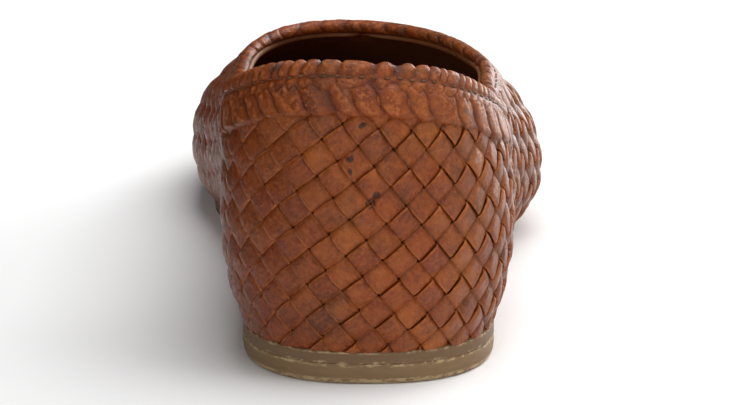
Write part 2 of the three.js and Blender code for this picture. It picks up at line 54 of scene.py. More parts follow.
HEEL_CENTRE = np.array([0.0, 35.0])
BALL_CENTRE = np.array([1.0, 161.0])
BALL_SKEW = math.radians(14)
TOE_LEAN = -0.05
TOE_ROUNDNESS = 2.25
TOP_ROUNDNESS = 2.15
RIDGE_FALL = -0.39
RIDGE_EASE = 0.0013
FEATHER_INSET = 1.0
FEATHER_ANGLE = math.radians(35)

# Turn, half widths at the sole and at the widest height, that height, and the crown
TURN, SOLE, BULGE, BULGE_HEIGHT, CROWN = range(5)
OUTER_SIDE = np.array([
    [1.00, 29.6, 33.7, 26.0, 80],
    [1.25, 26.5, 33.8, 26.0, 90],
    [1.50, 27.0, 33.4, 24.0, 84],
    [1.75, 34.5, 41.0, 19.0, 63],
    [2.00, 41.5, 48.0, 13.5, 51],
])
INNER_SIDE = np.array([
    [1.00, 29.6, 33.9, 25.0, 128],
    [1.25, 25.0, 34.4, 26.0, 110],
    [1.50, 23.5, 34.2, 25.0, 84],
    [1.75, 31.5, 39.5, 20.0, 63],
    [2.00, 40.5, 46.0, 14.0, 51],
])

# Reach behind the heel's centre and ahead of the ball's, with the height of the widest level
BACK = {SOLE: 34.6, BULGE: 38.8, BULGE_HEIGHT: 28}
TOE = {SOLE: 80, BULGE: 84.5, BULGE_HEIGHT: 11}
HEEL_ROUNDNESS = {SOLE: 2.4, BULGE: 2.1}

# Place along the shoe and height of the rim there, higher on the inner side round the heel
TOP_LINE = np.array([[-6, 76], [25, 65], [70, 51.5], [150, 55.5], [175, 55.5]], float)
TOP_LINE_TILT = 0.05
TILT_START, TILT_END = 30, 80

OUTSOLE_THICKNESS = 2.8
HEEL_SEAT_HEIGHT = 7.7
WAIST_START, WAIST_END = 62, 132
SPRING_START, SPRING_AT_60 = 188, 6
HEEL_BREAST = 60
GLUE_GAP = 0.3
INSOLE_THICKNESS = 2.7
LINED_INSET = 3.1

# Weave, laid out in a flat plane: from LEG_END on the straight legs widen to the vamp
DIAMOND = 8.55
HEEL_TWIST = math.radians(-6.4)
QUARTER_GIRTH = 87.7
FIRST_NODE_CLIMB = 23.6
LATTICE_SPAN = 56
LEG_END, LEG_TO_VAMP = 1.45, 0.35

# Rounds of putting back and of halving that settle a flat point's place on the last
PUT_BACKS = 30
HALVINGS = 26
TINY = 1e-9

rng = np.random.default_rng(11)


def smooth(t):
    """3t^2 - 2t^3 between 0 and 1."""
    t = np.clip(t, 0, 1)
    return t * t * (3 - 2 * t)


def mix(a, b, t):
    return a + (b - a) * t


def unit(v):
    return v / np.linalg.norm(v, axis=-1, keepdims=True)


def through(rows, column, at, first_slope=0.0, last_slope=0.0):
    """Cubic through a table's rows, its inner slopes those between the two neighbours."""
    key, value = rows[:, 0], rows[:, column]
    slope = np.empty(len(rows))
    slope[1:-1] = (value[2:] - value[:-2]) / (key[2:] - key[:-2])
    slope[0], slope[-1] = first_slope, last_slope
    i = np.clip(np.searchsorted(key, at, side="right") - 1, 0, len(rows) - 2)
    h = key[i + 1] - key[i]
    t = np.clip((at - key[i]) / h, 0, 1)
    rise = (2 * t**3 - 3 * t**2 + 1) * value[i] + (3 * t**2 - 2 * t**3) * value[i + 1]
    return rise + h * ((t**3 - 2 * t**2 + t) * slope[i] + (t**3 - t**2) * slope[i + 1])


SPINE = BALL_CENTRE - HEEL_CENTRE
TOE_WAY = unit(np.array([TOE_LEAN, 1.0]))
BALL_WAY = np.array([math.cos(BALL_SKEW), -math.sin(BALL_SKEW)])
FORWARD = np.array([math.sin(BALL_SKEW), math.cos(BALL_SKEW)])
END_TURN_IN = float(np.cross(SPINE, TOE_WAY) / np.cross(BALL_WAY, TOE_WAY))


def side_rows(side):
    return OUTER_SIDE if side > 0 else INNER_SIDE


def top_line(at):
    """Height of the rim over a point, higher on the inner side round the heel."""
    tilt = TOP_LINE_TILT * (1 - smooth((at[..., 1] - TILT_START) / (TILT_END - TILT_START)))
    return through(TOP_LINE, 1, at[..., 1]) - tilt * at[..., 0]


def sole_top(y):
    """Level heel seat, smooth fall through the waist, level tread, square-law toe spring."""
    waist = smooth((y - WAIST_START) / (WAIST_END - WAIST_START))
    spring = SPRING_AT_60 * (np.maximum(0, y - SPRING_START) / 60) ** 2
    return mix(HEEL_SEAT_HEIGHT, OUTSOLE_THICKNESS, waist) + spring


def spine(turn):
    """Point of the straight spine between the heel's and the ball's centre, in plan."""
    return HEEL_CENTRE + SPINE * np.clip(turn - 1, 0, 1)[..., None]


def reach(side, turn, level, inset=0.0):
    """From the spine to the outline: superellipse heel, half widths, superellipse toe."""
    rows = side_rows(side)
    turn = np.asarray(turn, float)
    phi = np.clip(turn, 0, 1) * np.pi / 2
    n = HEEL_ROUNDNESS[level]
    back = np.cos(phi) / (BACK[level] - inset)
    flank = np.sin(phi) / (rows[0, level] - inset)
    r = (np.abs(back) ** n + np.abs(flank) ** n) ** (-1 / n)
    heel = np.stack([side * r * np.sin(phi), -r * np.cos(phi)], -1)
    half = through(rows, level, turn, 0, -side * END_TURN_IN) - inset
    angle = BALL_SKEW * smooth(turn - 1)
    flanks = np.stack([side * half * np.cos(angle), -side * half * np.sin(angle)], -1)
    phi = np.clip(turn - 2, 0, 1) * np.pi / 2
    n = 2 / TOE_ROUNDNESS
    across = side * (rows[-1, level] - inset) * np.abs(np.cos(phi)) ** n
    along = (TOE[level] - inset) * np.abs(np.sin(phi)) ** n
    toe = across[..., None] * BALL_WAY + along[..., None] * TOE_WAY
    return np.where((turn < 1)[..., None], heel, np.where((turn <= 2)[..., None], flanks, toe))


def levels(side, turn):
    """Height of the widest level over the sole, and of the crown over the floor."""
    rows = side_rows(side)
    back_crown = (OUTER_SIDE[0, CROWN] + INNER_SIDE[0, CROWN]) / 2
    ridge = RIDGE_FALL * math.hypot(*SPINE)
    bulge = np.where(
        turn < 1, mix(BACK[BULGE_HEIGHT], rows[0, BULGE_HEIGHT], smooth(turn)),
        np.where(turn <= 2, through(rows, BULGE_HEIGHT, turn),
                 mix(rows[-1, BULGE_HEIGHT], TOE[BULGE_HEIGHT], smooth(turn - 2))))
    crown = np.where(
        turn < 1, mix(back_crown, rows[0, CROWN], smooth(turn)),
        through(rows, CROWN, np.minimum(turn, 2), 0, ridge))
    return bulge, crown


def sections(side, turn, low_steps=16, high_steps=70):
    """Sections of the last at many turns: part of an ellipse from the feather edge out to
    the widest level, then a quarter superellipse up and in, falling forward over the toe."""
    base = spine(turn)[:, None]
    out = reach(side, turn, BULGE)[:, None]
    foot = base + reach(side, turn, SOLE, FEATHER_INSET)[:, None]
    wide = base + out
    bulge, crown = levels(side, turn)
    foot_height = sole_top(foot[..., 1])
    wide_height = foot_height + bulge[:, None]
    a = mix(FEATHER_ANGLE, np.pi / 2, np.arange(low_steps + 1) / low_steps)
    k = (np.sin(a) - math.sin(FEATHER_ANGLE)) / (1 - math.sin(FEATHER_ANGLE))
    rise = (math.cos(FEATHER_ANGLE) - np.cos(a)) / math.cos(FEATHER_ANGLE)
    low_plan = foot + (wide - foot) * k[:, None]
    low = np.concatenate([low_plan, mix(foot_height, wide_height, rise)[..., None]], -1)
    a = np.arange(1, high_steps + 1) / high_steps * np.pi / 2
    n = 2 / TOP_ROUNDNESS
    plan = base + out * (np.abs(np.cos(a)) ** n)[:, None]
    ahead = np.maximum(0, (plan - BALL_CENTRE) @ FORWARD) * (turn > 2)[:, None]
    top = crown[:, None] + (RIDGE_FALL + RIDGE_EASE * ahead) * ahead
    high = np.concatenate([plan, mix(wide_height, top, np.sin(a) ** n)[..., None]], -1)
    return np.concatenate([low, high], 1)


# Tables of the last's surface: rows by turn, columns by climb, for the outer and inner side

TURNS = np.linspace(0, 3, 901)
CLIMB_STEP = 0.5
CLIMBS = np.arange(-3, 150, CLIMB_STEP)
OUTER, INNER = 0, 1
SIDES = (1, -1)


def lay_out(side):
    """Each section resampled at the climbs; under the feather edge it goes straight down."""
    points = sections(side, TURNS)
    steps = np.linalg.norm(np.diff(points, axis=1), axis=2)
    length = np.concatenate([np.zeros((len(points), 1)), np.cumsum(steps, 1)], 1)
    surface = np.stack([
        np.stack([np.interp(CLIMBS, row, line[:, axis]) for axis in range(3)], 1)
        for row, line in zip(length, points)])
    surface[..., 2] += np.minimum(CLIMBS, 0)
    return surface, length[:, -1]


laid = [lay_out(side) for side in SIDES]
SURFACE = np.stack([surface for surface, _ in laid])
SECTION_LENGTH = np.stack([length for _, length in laid])
OUTWARD = np.stack([unit(reach(side, TURNS, BULGE)) for side in SIDES])
GIRTH = mix(QUARTER_GIRTH, SECTION_LENGTH, smooth((TURNS - LEG_END) / LEG_TO_VAMP))


def heel_arcs():
    """Length round the heel from the back seam at each turn up to 1, at the widest level."""
    inside = TURNS <= 1
    arcs = []
    for side in SIDES:
        steps = np.linalg.norm(np.diff(reach(side, TURNS[inside], BULGE), axis=0), axis=1)
        arcs.append(np.concatenate([[0], np.cumsum(steps)]))
    return TURNS[inside], arcs


HEEL_TURNS, HEEL_ARCS = heel_arcs()
HEEL_LENGTH = (HEEL_ARCS[OUTER][-1] + HEEL_ARCS[INNER][-1]) / 2
SEAM = HEEL_CENTRE[1] - HEEL_LENGTH


def by_turn(table, which, turn):
    """Straight-line reading of a table by turn, for the side of each point."""
    step = np.clip(turn / TURNS[1], 0, len(TURNS) - 1 - TINY)
    i = step.astype(int)
    f = step - i
    if table.ndim == 3:
        f = f[..., None]
    return table[which, i] * (1 - f) + table[which, i + 1] * f


def on_last(which, turn, climb):
    """Point of the last by straight-line reading between four points of the table."""
    row = np.clip(turn / TURNS[1], 0, len(TURNS) - 1 - TINY)
    column = np.clip((climb - CLIMBS[0]) / CLIMB_STEP, 0, len(CLIMBS) - 1 - TINY)
    i, j = row.astype(int), column.astype(int)
    f, g = (row - i)[..., None], (column - j)[..., None]
    near = SURFACE[which, i, j] * (1 - g) + SURFACE[which, i, j + 1] * g
    far = SURFACE[which, i + 1, j] * (1 - g) + SURFACE[which, i + 1, j + 1] * g
    return near * (1 - f) + far * f


# The upper laid flat: the vamp round the end of the middle line, the quarters as two
# straight legs beside it, whose ends meet in the back seam turned half round

def twist(q):
    """Twist of the weave round the heel, which dies away at the sides."""
    return math.sin(HEEL_TWIST) * (1 - np.minimum(1, (q / HEEL_LENGTH) ** 2)) ** 2


def across_seam(flat):
    """A point past the end of one leg, moved to the other by half a turn about the seam."""
    return np.where(flat[..., 1:] < SEAM, np.array([0, 2 * SEAM]) - flat, flat)


def middle_at(y):
    """Place across of the middle line, from the heel's centre through the ball's to the toe."""
    along = mix(HEEL_CENTRE[0], BALL_CENTRE[0], np.clip((y - HEEL_CENTRE[1]) / SPINE[1], 0, 1))
    return along + TOE_LEAN * np.maximum(0, y - BALL_CENTRE[1])


def from_flat(flat):
    """Side, turn and climb of flat points. Round the heel the twist is undone by repeated
    putting back; ahead the turn whose outward line meets the point is found by halving."""
    leg = np.where(flat[..., 0] < middle_at(flat[..., 1]), -1, 1)
    around = leg * (flat[..., 1] - SEAM)
    up = QUARTER_GIRTH - np.abs(flat[..., 0])
    q, climb = around, up
    for _ in range(PUT_BACKS):
        climb = up + q * twist(q)
        q = around - climb * twist(q)
    share = np.clip(np.abs(q) / HEEL_LENGTH, 0, 1)
    heel_turn = np.where(
        q > 0, np.interp(share * HEEL_ARCS[OUTER][-1], HEEL_ARCS[OUTER], HEEL_TURNS),
        np.interp(share * HEEL_ARCS[INNER][-1], HEEL_ARCS[INNER], HEEL_TURNS))
    which = (leg < 0).astype(int)
    low, high = np.ones(flat.shape[:-1]), np.full(flat.shape[:-1], 3.0)
    for _ in range(HALVINGS):
        turn = (low + high) / 2
        way = by_turn(OUTWARD, which, turn)
        away = flat - spine(turn)
        ahead = leg * (way[..., 0] * away[..., 1] - way[..., 1] * away[..., 0]) > 0
        low, high = np.where(ahead, turn, low), np.where(ahead, high, turn)
    away = flat - spine(turn)
    front_climb = by_turn(GIRTH, which, turn) - (away * by_turn(OUTWARD, which, turn)).sum(-1)
    heel = flat[..., 1] < HEEL_CENTRE[1]
    side_there = np.where(heel, (q < 0).astype(int), which)
    return side_there, np.where(heel, heel_turn, turn), np.where(heel, climb, front_climb)


def place(flat):
    return on_last(*from_flat(across_seam(flat)))


def place_and_normal(flat, step=0.4):
    """Point of the last and the outward normal there, from four small steps in the plane.
    Where the steps meet in one point, longer ones are taken."""
    ways = np.array([[step, 0], [-step, 0], [0, step], [0, -step]])
    right, left, front, rear = (place(flat + way) for way in ways)
    normal = np.cross(right - left, front - rear)
    met = np.linalg.norm(normal, axis=-1) < TINY
    if met.any():
        normal[met] = place_and_normal(flat[met], 2 * step)[1]
    return place(flat), unit(normal)


def to_flat(side, turn, climb):
    """Flat point of a side's own leg from turn and climb."""
    which = OUTER if side > 0 else INNER
    q = side * np.interp(turn, HEEL_TURNS, HEEL_ARCS[which]) * HEEL_LENGTH / HEEL_ARCS[which][-1]
    around = q + climb * twist(q)
    up = climb - q * twist(q)
    heel = np.stack([side * (QUARTER_GIRTH - up), SEAM + side * around], -1)
    out = by_turn(GIRTH, which, turn) - climb
    front = spine(turn) + by_turn(OUTWARD, which, turn) * out[..., None]
    return np.where((turn < 1)[..., None], heel, front)


# Putting a piece in

def frame_shift():
    """From the last's origin to the frame's, both on the floor, from the outsole's box."""
    plan = np.concatenate([spine(TURNS) + reach(side, TURNS, SOLE) for side in SIDES])
    low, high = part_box("outsole")
    middle = (plan.min(0) + plan.max(0)) / 2
    there = np.array([low[0] + high[0], low[1] + high[1]]) / 2
    return np.append(there - middle / 1000, 0)


SHIFT = frame_shift()


def outward_faces(points, faces):
    """Faces turned to point outwards: the closed form's signed volume has to be positive."""
    corners = [points[faces[:, k]] for k in range(faces.shape[1])]
    volume = sum(np.einsum("ij,ij->", corners[0], np.cross(corners[k], corners[k + 1]))
                 for k in range(1, len(corners) - 1))
    return faces if volume > 0 else faces[:, ::-1]


def put_in(name, points, faces, finish, nodes, values=None, uv=None, caps=()):
    """A mesh from points in millimetres, quads and end caps, riding on the one body."""
    mesh = bpy.data.meshes.new(name)
    quads = outward_faces(points, faces)
    ends = list(caps) if quads is faces else [cap[::-1] for cap in caps]
    mesh.from_pydata((points / 1000 + SHIFT).tolist(), [], quads.tolist() + ends)
    mesh.polygons.foreach_set("use_smooth", np.ones(len(mesh.polygons), bool))
    for key, value in (values or {}).items():
        attribute = mesh.attributes.new(key, "FLOAT", "POINT")
        attribute.data.foreach_set("value", np.asarray(value, np.float32).ravel())
    if uv is not None:
        corner = np.empty(len(mesh.loops), np.int32)
        mesh.loops.foreach_get("vertex_index", corner)
        layer = mesh.uv_layers.new(name="along and across")
        layer.data.foreach_set("uv", (uv[corner] / 1000).astype(np.float32).ravel())
    mesh.materials.append(finish)
    mesh.update()
    piece = bpy.data.objects.new(name, mesh)
    bpy.context.scene.collection.objects.link(piece)
    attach(piece, "root")
    if nodes:
        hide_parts(*nodes)


def grid_faces(rows, columns, closed_rows=False, closed_columns=False):
    """Quads of a grid of points, joined up end to end where it closes."""
    i = np.arange(rows if closed_rows else rows - 1)
    j = np.arange(columns if closed_columns else columns - 1)
    i, j = np.meshgrid(i, j, indexing="ij")
    here, up = i * columns, (i + 1) % rows * columns
    over = (j + 1) % columns
    return np.stack([here + j, here + over, up + over, up + j], -1).reshape(-1, 4)


def end_caps(start, rows, ring):
    """Both end faces of a closed tube, from its first point, its rows and points in a row."""
    last = start + (rows - 1) * ring
    return [list(range(start + ring - 1, start - 1, -1)), list(range(last, last + ring))]


# Finishes

def srgb(red, green, blue):
    """Straight-light colour from a screen colour between 0 and 255."""
    screen = np.array([red, green, blue]) / 255
    light = np.where(screen < 0.04045, screen / 12.92, ((screen + 0.055) / 1.055) ** 2.4)
    return (*light.tolist(), 1.0)


class Finish:
    """A material with short words for its nodes. Places and sizes are in metres, except
    where a docstring says otherwise."""

    def __init__(self, name, roughness, coat=0.0, coat_roughness=0.3, specular=0.5):
        self.material = bpy.data.materials.new(name)
        self.material.use_nodes = True
        self.nodes = self.material.node_tree.nodes
        self.shader = self.nodes["Principled BSDF"]
        self.shader.inputs["Roughness"].default_value = roughness
        self.shader.inputs["Coat Weight"].default_value = coat
        self.shader.inputs["Coat Roughness"].default_value = coat_roughness
        self.shader.inputs["Specular IOR Level"].default_value = specular

    def link(self, start, end):
        self.material.node_tree.links.new(start, end)

    def node(self, kind, **settings):
        node = self.nodes.new(kind)
        for key, value in settings.items():
            setattr(node, key, value)
        return node

    def feed(self, socket, value):
        if hasattr(value, "is_linked"):
            self.link(value, socket)
        else:
            socket.default_value = value

    def coordinates(self, stretch=(1, 1, 1), uv=False):
        source = self.node("ShaderNodeTexCoord").outputs["UV" if uv else "Object"]
        mapping = self.node("ShaderNodeMapping")
        mapping.inputs["Scale"].default_value = stretch
        self.link(source, mapping.inputs["Vector"])
        return mapping.outputs["Vector"]

    def noise(self, scale, detail=3.0, rough=0.55, stretch=(1, 1, 1), uv=False):
        noise = self.node("ShaderNodeTexNoise")
        noise.inputs["Scale"].default_value = scale
        noise.inputs["Detail"].default_value = detail
        noise.inputs["Roughness"].default_value = rough
        self.link(self.coordinates(stretch, uv), noise.inputs["Vector"])
        return noise.outputs["Fac"]

    def cells(self, scale, stretch=(1, 1, 1), uv=False):
        cells = self.node("ShaderNodeTexVoronoi", feature="DISTANCE_TO_EDGE")
        cells.inputs["Scale"].default_value = scale
        self.link(self.coordinates(stretch, uv), cells.inputs["Vector"])
        return cells.outputs["Distance"]

    def place(self, axis):
        """How far along one axis of the frame a point lies."""
        split = self.node("ShaderNodeSeparateXYZ")
        self.link(self.node("ShaderNodeTexCoord").outputs["Object"], split.inputs[0])
        return split.outputs[axis]

    def spot(self, across, height, radius):
        """A ragged spot on the back of the heel, at a place and of a size in millimetres: the
        distance from it in the upright plane, made uneven by a fine noise."""
        away = self.node("ShaderNodeVectorMath", operation="DISTANCE")
        self.link(self.coordinates((1, 0, 1)), away.inputs[0])
        away.inputs[1].default_value = (across / 1000 + SHIFT[0], 0, height / 1000)
        ragged = self.math("MULTIPLY_ADD", self.noise(900, 4, 0.6), 0.0022, -0.0011)
        distance = self.math("ADD", away.outputs["Value"], ragged)
        inside = self.spread(distance, radius / 1000, radius / 1000 + SPOT_EDGE, 0.85, 0)
        behind = self.spread(self.place("Y"), *BACK_OF_HEEL, 1, 0)
        return self.math("MULTIPLY", inside, behind)

    def value(self, name):
        return self.node("ShaderNodeAttribute", attribute_name=name).outputs["Fac"]

    def spread(self, value, low, high, to_low=0.0, to_high=1.0):
        """The value from low to high, spread from to_low to to_high and held there."""
        spread = self.node("ShaderNodeMapRange", clamp=True)
        for key, number in zip(("From Min", "From Max", "To Min", "To Max"),
                               (low, high, to_low, to_high)):
            spread.inputs[key].default_value = number
        self.link(value, spread.inputs["Value"])
        return spread.outputs["Result"]

    def math(self, operation, a, b=0.0, c=0.0):
        node = self.node("ShaderNodeMath", operation=operation)
        self.feed(node.inputs[0], a)
        self.feed(node.inputs[1], b)
        self.feed(node.inputs[2], c)
        return node.outputs[0]

    def blend(self, amount, a, b):
        node = self.node("ShaderNodeMix", data_type="RGBA", blend_type="MIX")
        self.feed(node.inputs["Factor"], amount)
        self.feed(node.inputs["A"], a)
        self.feed(node.inputs["B"], b)
        return node.outputs["Result"]

    def over(self, colour, paint, where, share):
        """The paint over the colour, as far as a value between 0 and 1 says, up to a share."""
        return self.blend(self.math("MULTIPLY", where, share), colour, paint)

    def patches(self, scale, detail, rough, low, high):
        """Soft-edged patches: noise that rises from 0 to 1 between two of its values."""
        return self.spread(self.noise(scale, detail, rough), low, high)

    def bump(self, height, strength, distance, under=None):
        bump = self.node("ShaderNodeBump")
        bump.inputs["Strength"].default_value = strength
        bump.inputs["Distance"].default_value = distance
        self.link(height, bump.inputs["Height"])
        if under is not None:
            self.link(under, bump.inputs["Normal"])
        return bump.outputs["Normal"]

    def done(self, colour=None, roughness=None, normal=None):
        for key, value in (("Base Color", colour), ("Roughness", roughness), ("Normal", normal)):
            if value is not None:
                self.feed(self.shader.inputs[key], value)
        return self.material


TAN = srgb(168, 90, 30)
COGNAC = srgb(124, 55, 15)
RUSSET = srgb(132, 48, 10)
CHESTNUT = srgb(70, 32, 15)
INNER_PAINTED_SHADE = srgb(96, 36, 8)
OUTER_PAINTED_SHEEN = srgb(112, 74, 52)
SMUDGE = srgb(50, 38, 33)
PITCH = srgb(26, 22, 22)
RAW_EDGE = srgb(190, 108, 52)
SCUFFED = srgb(186, 160, 120)

# Dark spots on the back of the heel: across from the last's middle, height and radius
PITCH_SPOTS = (
    (-2.0, 61.2, 0.6), (-4.8, 53.6, 0.7), (-4.9, 50.7, 0.35), (-0.2, 43.5, 0.9), (1.0, 45.2, 0.6),
)

# In metres of the frame: the soft edge of a spot, where the back of the heel ends, where the
# painted shade spreads on the inner side and the painted greyish sheen on the outer side,
# and the soft edge of a scuffed band
SPOT_EDGE = 0.00035
BACK_OF_HEEL = (-0.1, -0.095)
INNER_SHADE_REACH = (-0.036, -0.002)
OUTER_SHEEN_REACH = (0.008, 0.036)
SCUFF_EDGE = 0.0004


def waxed(name):
    """An empty waxed leather finish."""
    return Finish(name, 0.45, coat=0.03, coat_roughness=0.25, specular=0.3)


def leather_ground(finish, mottle, tone, warm, stains, inner_shade, outer_sheen):
    """Ground of the upper's leather: mottling plus a tone runs from cognac to tan, under
    russet and chestnut patches. Painted shade darkens it towards the inner side and a painted
    greyish sheen dulls it towards the outer one. The mottling has a scale, a gain and a shift,
    the stains a scale and the noise value where they begin, and the rest are shares."""
    scale, gain, shift = mottle
    mottling = finish.math("MULTIPLY_ADD", finish.noise(scale, 8, 0.72), gain, shift)
    light = finish.spread(finish.math("ADD", mottling, tone), 0.1, 0.9)
    colour = finish.blend(light, COGNAC, TAN)
    colour = finish.over(colour, RUSSET, finish.patches(75, 3, 0.55, 0.42, 0.62), warm)
    scale, begin = stains
    colour = finish.over(colour, CHESTNUT, finish.patches(scale, 5, 0.65, begin, begin + 0.18), 0.5)
    # Painted shade on the inner side and a painted greyish sheen on the outer side, by place across
    # the frame
    inner = finish.spread(finish.place("X"), *INNER_SHADE_REACH, inner_shade, 0)
    outer = finish.spread(finish.place("X"), *OUTER_SHEEN_REACH, 0, outer_sheen)
    return finish.blend(outer, finish.blend(inner, colour, INNER_PAINTED_SHADE), OUTER_PAINTED_SHEEN)


def worn_cracks(finish, distance, width, worn_scale):
    """Fine cracks, 1 on their lines, where a slow noise says that the leather is worn."""
    cracks = finish.spread(distance, 0.0, width, 1, 0)
    return finish.math("MULTIPLY", cracks, finish.patches(worn_scale, 2, 0.5, 0.45, 0.6))


def leather_skin(finish, cracks, dent_strength, crack_strength):
    """Surface of the leather: fine grain, shallow dents and sunk cracks."""
    grain = finish.bump(finish.noise(1700, 6, 0.65), 0.6, 0.0005)
    dents = finish.bump(finish.noise(330, 4, 0.6), dent_strength, 0.0011, grain)
    return finish.bump(finish.math("SUBTRACT", 1.0, cracks), crack_strength, 0.0003, dents)


def strip_leather():
    """Waxed tan strips: toned from crossing to crossing, smudged, finely cracked, streaked
    along their length, lighter at the cut edges, with painted shade where they dip."""
    finish = waxed("waxed woven leather")
    tone = finish.spread(finish.value("tone"), 0.1, 0.9, -0.12, 0.6)
    colour = leather_ground(finish, (330, 2.2, -0.87), tone, 0.45, (110, 0.52), 0.75, 0.55)
    colour = finish.over(colour, SMUDGE, finish.patches(100, 4, 0.6, 0.52, 0.68), 0.42)
    colour = finish.over(colour, SMUDGE, finish.patches(300, 7, 0.72, 0.57, 0.7), 0.6)
    streaks = finish.spread(finish.noise(1100, 4, 0.65, (0.65, 1, 1), uv=True), 0.45, 0.7)
    colour = finish.over(colour, RAW_EDGE, streaks, 0.35)
    for spot in PITCH_SPOTS:
        colour = finish.blend(finish.spot(*spot), colour, PITCH)
    edge = finish.spread(finish.value("edge"), 0.8, 0.98)
    rubbed = finish.spread(finish.noise(500, 4, 0.6), 0.4, 0.6, 0.2, 0.8)
    by_side = finish.spread(finish.place("X"), -0.03, 0.005, 1.2, 0.85)
    edge = finish.math("MULTIPLY", finish.math("MULTIPLY", edge, rubbed), by_side)
    colour = finish.blend(edge, colour, RAW_EDGE)
    cracks = worn_cracks(finish, finish.cells(900, (0.6, 1.2, 1), uv=True), 0.06, 160)
    colour = finish.over(colour, CHESTNUT, cracks, 0.35)
    # Painted shade: darker where a strip dips under the crossing strip
    dip = finish.spread(finish.value("height"), -0.3, 0.5, 0.55, 0)
    colour = finish.blend(dip, colour, CHESTNUT)
    roughness = finish.spread(finish.noise(420, 5, 0.65), 0.35, 0.65, 0.24, 0.5)
    return finish.done(colour, roughness, leather_skin(finish, cracks, 0.5, 0.25))


def collar_leather():
    """The same leather, folded and stitched: rubbed on the folds, with painted shade in the creases.
    """
    finish = waxed("waxed collar leather")
    tone = finish.spread(finish.value("tone"), 0, 1, 0, 0.4)
    colour = leather_ground(finish, (300, 2.4, -0.95), tone, 0.4, (120, 0.5), 0.6, 0.5)
    colour = finish.over(colour, SMUDGE, finish.patches(190, 7, 0.7, 0.53, 0.68), 0.75)
    rubbed = finish.spread(finish.noise(700, 5, 0.65), 0.48, 0.6, 0, 0.6)
    on_fold = finish.spread(finish.value("crease"), 0, 0.35, 1, 0)
    colour = finish.over(colour, RAW_EDGE, rubbed, on_fold)
    # Painted shade: darker in the creases between the folds and plaits
    crease = finish.spread(finish.value("crease"), 0.45, 1.0, 0, 0.85)
    colour = finish.blend(crease, colour, CHESTNUT)
    cracks = worn_cracks(finish, finish.cells(1300), 0.05, 200)
    colour = finish.over(colour, CHESTNUT, cracks, 0.4)
    roughness = finish.spread(finish.noise(420, 5, 0.65), 0.35, 0.65, 0.26, 0.52)
    return finish.done(colour, roughness, leather_skin(finish, cracks, 0.55, 0.3))


def lining_leather():
    """Plain brown leather, a little lighter on the turned lip under the rim."""
    finish = Finish("lining leather", 0.6)
    colour = finish.blend(finish.noise(60, 3), srgb(132, 82, 48), srgb(108, 66, 38))
    colour = finish.blend(finish.value("lip"), colour, srgb(140, 88, 50))
    normal = finish.bump(finish.noise(3000, 3), 0.25, 0.0001)
    return finish.done(colour, None, normal)


def sole_rubber(name, base, other, scuffs):
    """Matt rubber with faint streaks along the edge and a fine tooth, and with light scuffs
    in bands: each the lowest and highest place in millimetres, and how much is scuffed."""
    finish = Finish(name, 0.72)
    colour = finish.blend(finish.noise(220, 4, 0.6, (1, 1, 4)), base, other)
    for lowest, highest, share in scuffs:
        low, high = lowest / 1000, highest / 1000
        band = finish.math("MULTIPLY", finish.spread(finish.place("Z"), low - SCUFF_EDGE, low),
                           finish.spread(finish.place("Z"), high, high + SCUFF_EDGE, 1, 0))
        begin = 0.6 - 0.2 * share
        flecks = finish.spread(finish.noise(420, 6, 0.7, (1, 1, 2.5)), begin, begin + 0.1)
        colour = finish.over(colour, SCUFFED, band, flecks)
    normal = finish.bump(finish.noise(2200, 4), 0.3, 0.0002)
    return finish.done(colour, None, normal)


def waxed_thread():
    finish = Finish("waxed thread", 0.55)
    colour = finish.blend(finish.noise(700, 2), srgb(128, 90, 52), srgb(66, 42, 26))
    return finish.done(colour)


# Weave of flat strips

STRIP_WIDTH = DIAMOND / math.sqrt(2)
STRIP_THICKNESS = 1.1
THICKNESS_SPREAD = (0.92, 1.08)
WAVE_HEIGHT = 0.62
WEAVE_MIDDLE = -0.57
FLATTENING = 3.0
STEPS_PER_CROSSING = 8

# In strip widths: how much narrower a strip is where it dips, and how it sways
NARROWING = 0.08
SWAY, SWAY_SPREAD, SWAY_RATE = 0.02, 0.008, 0.7

# Rise of a strip's proud edge, and how far from the middle line it is whole
EDGE_TILT = 0.48
EDGE_TILT_REACH = 20

# How deep the strips end under the rim, at the heel and from there on to the throat
COLLAR_COVER, THROAT_COVER = 7.0, 2.6
THROAT_START, THROAT_EASE = 112, 36
SOLE_TUCK = 1.8

# Share of a strip's tone that is the same along it, the rest is its crossings' own
STRIP_TONE = 0.4

# Each strip reads the pattern of its finish from a place of its own
UV_ALONG, UV_ACROSS = 37, 11

NODE_X = QUARTER_GIRTH - FIRST_NODE_CLIMB
FIRST_START = NODE_X + SEAM - DIAMOND
SECOND_START = NODE_X - SEAM

# Round a strip: place across from -1 to 1, and height in half thicknesses
STRIP_RING = np.array([
    [-1.0, -0.1], [-0.94, 0.66], [-0.6, 0.97], [0.0, 1.03], [0.6, 0.97], [0.94, 0.66],
    [1.0, -0.1], [0.86, -1.0], [0.0, -1.0], [-0.86, -1.0],
])


def lattice(first, second):
    """Flat point from the running numbers of the strips of both directions, which lie at
    plus and minus 45 degrees."""
    total = first * DIAMOND + FIRST_START
    difference = second * DIAMOND + SECOND_START
    return np.stack(np.broadcast_arrays((total + difference) / 2, (total - difference) / 2), -1)


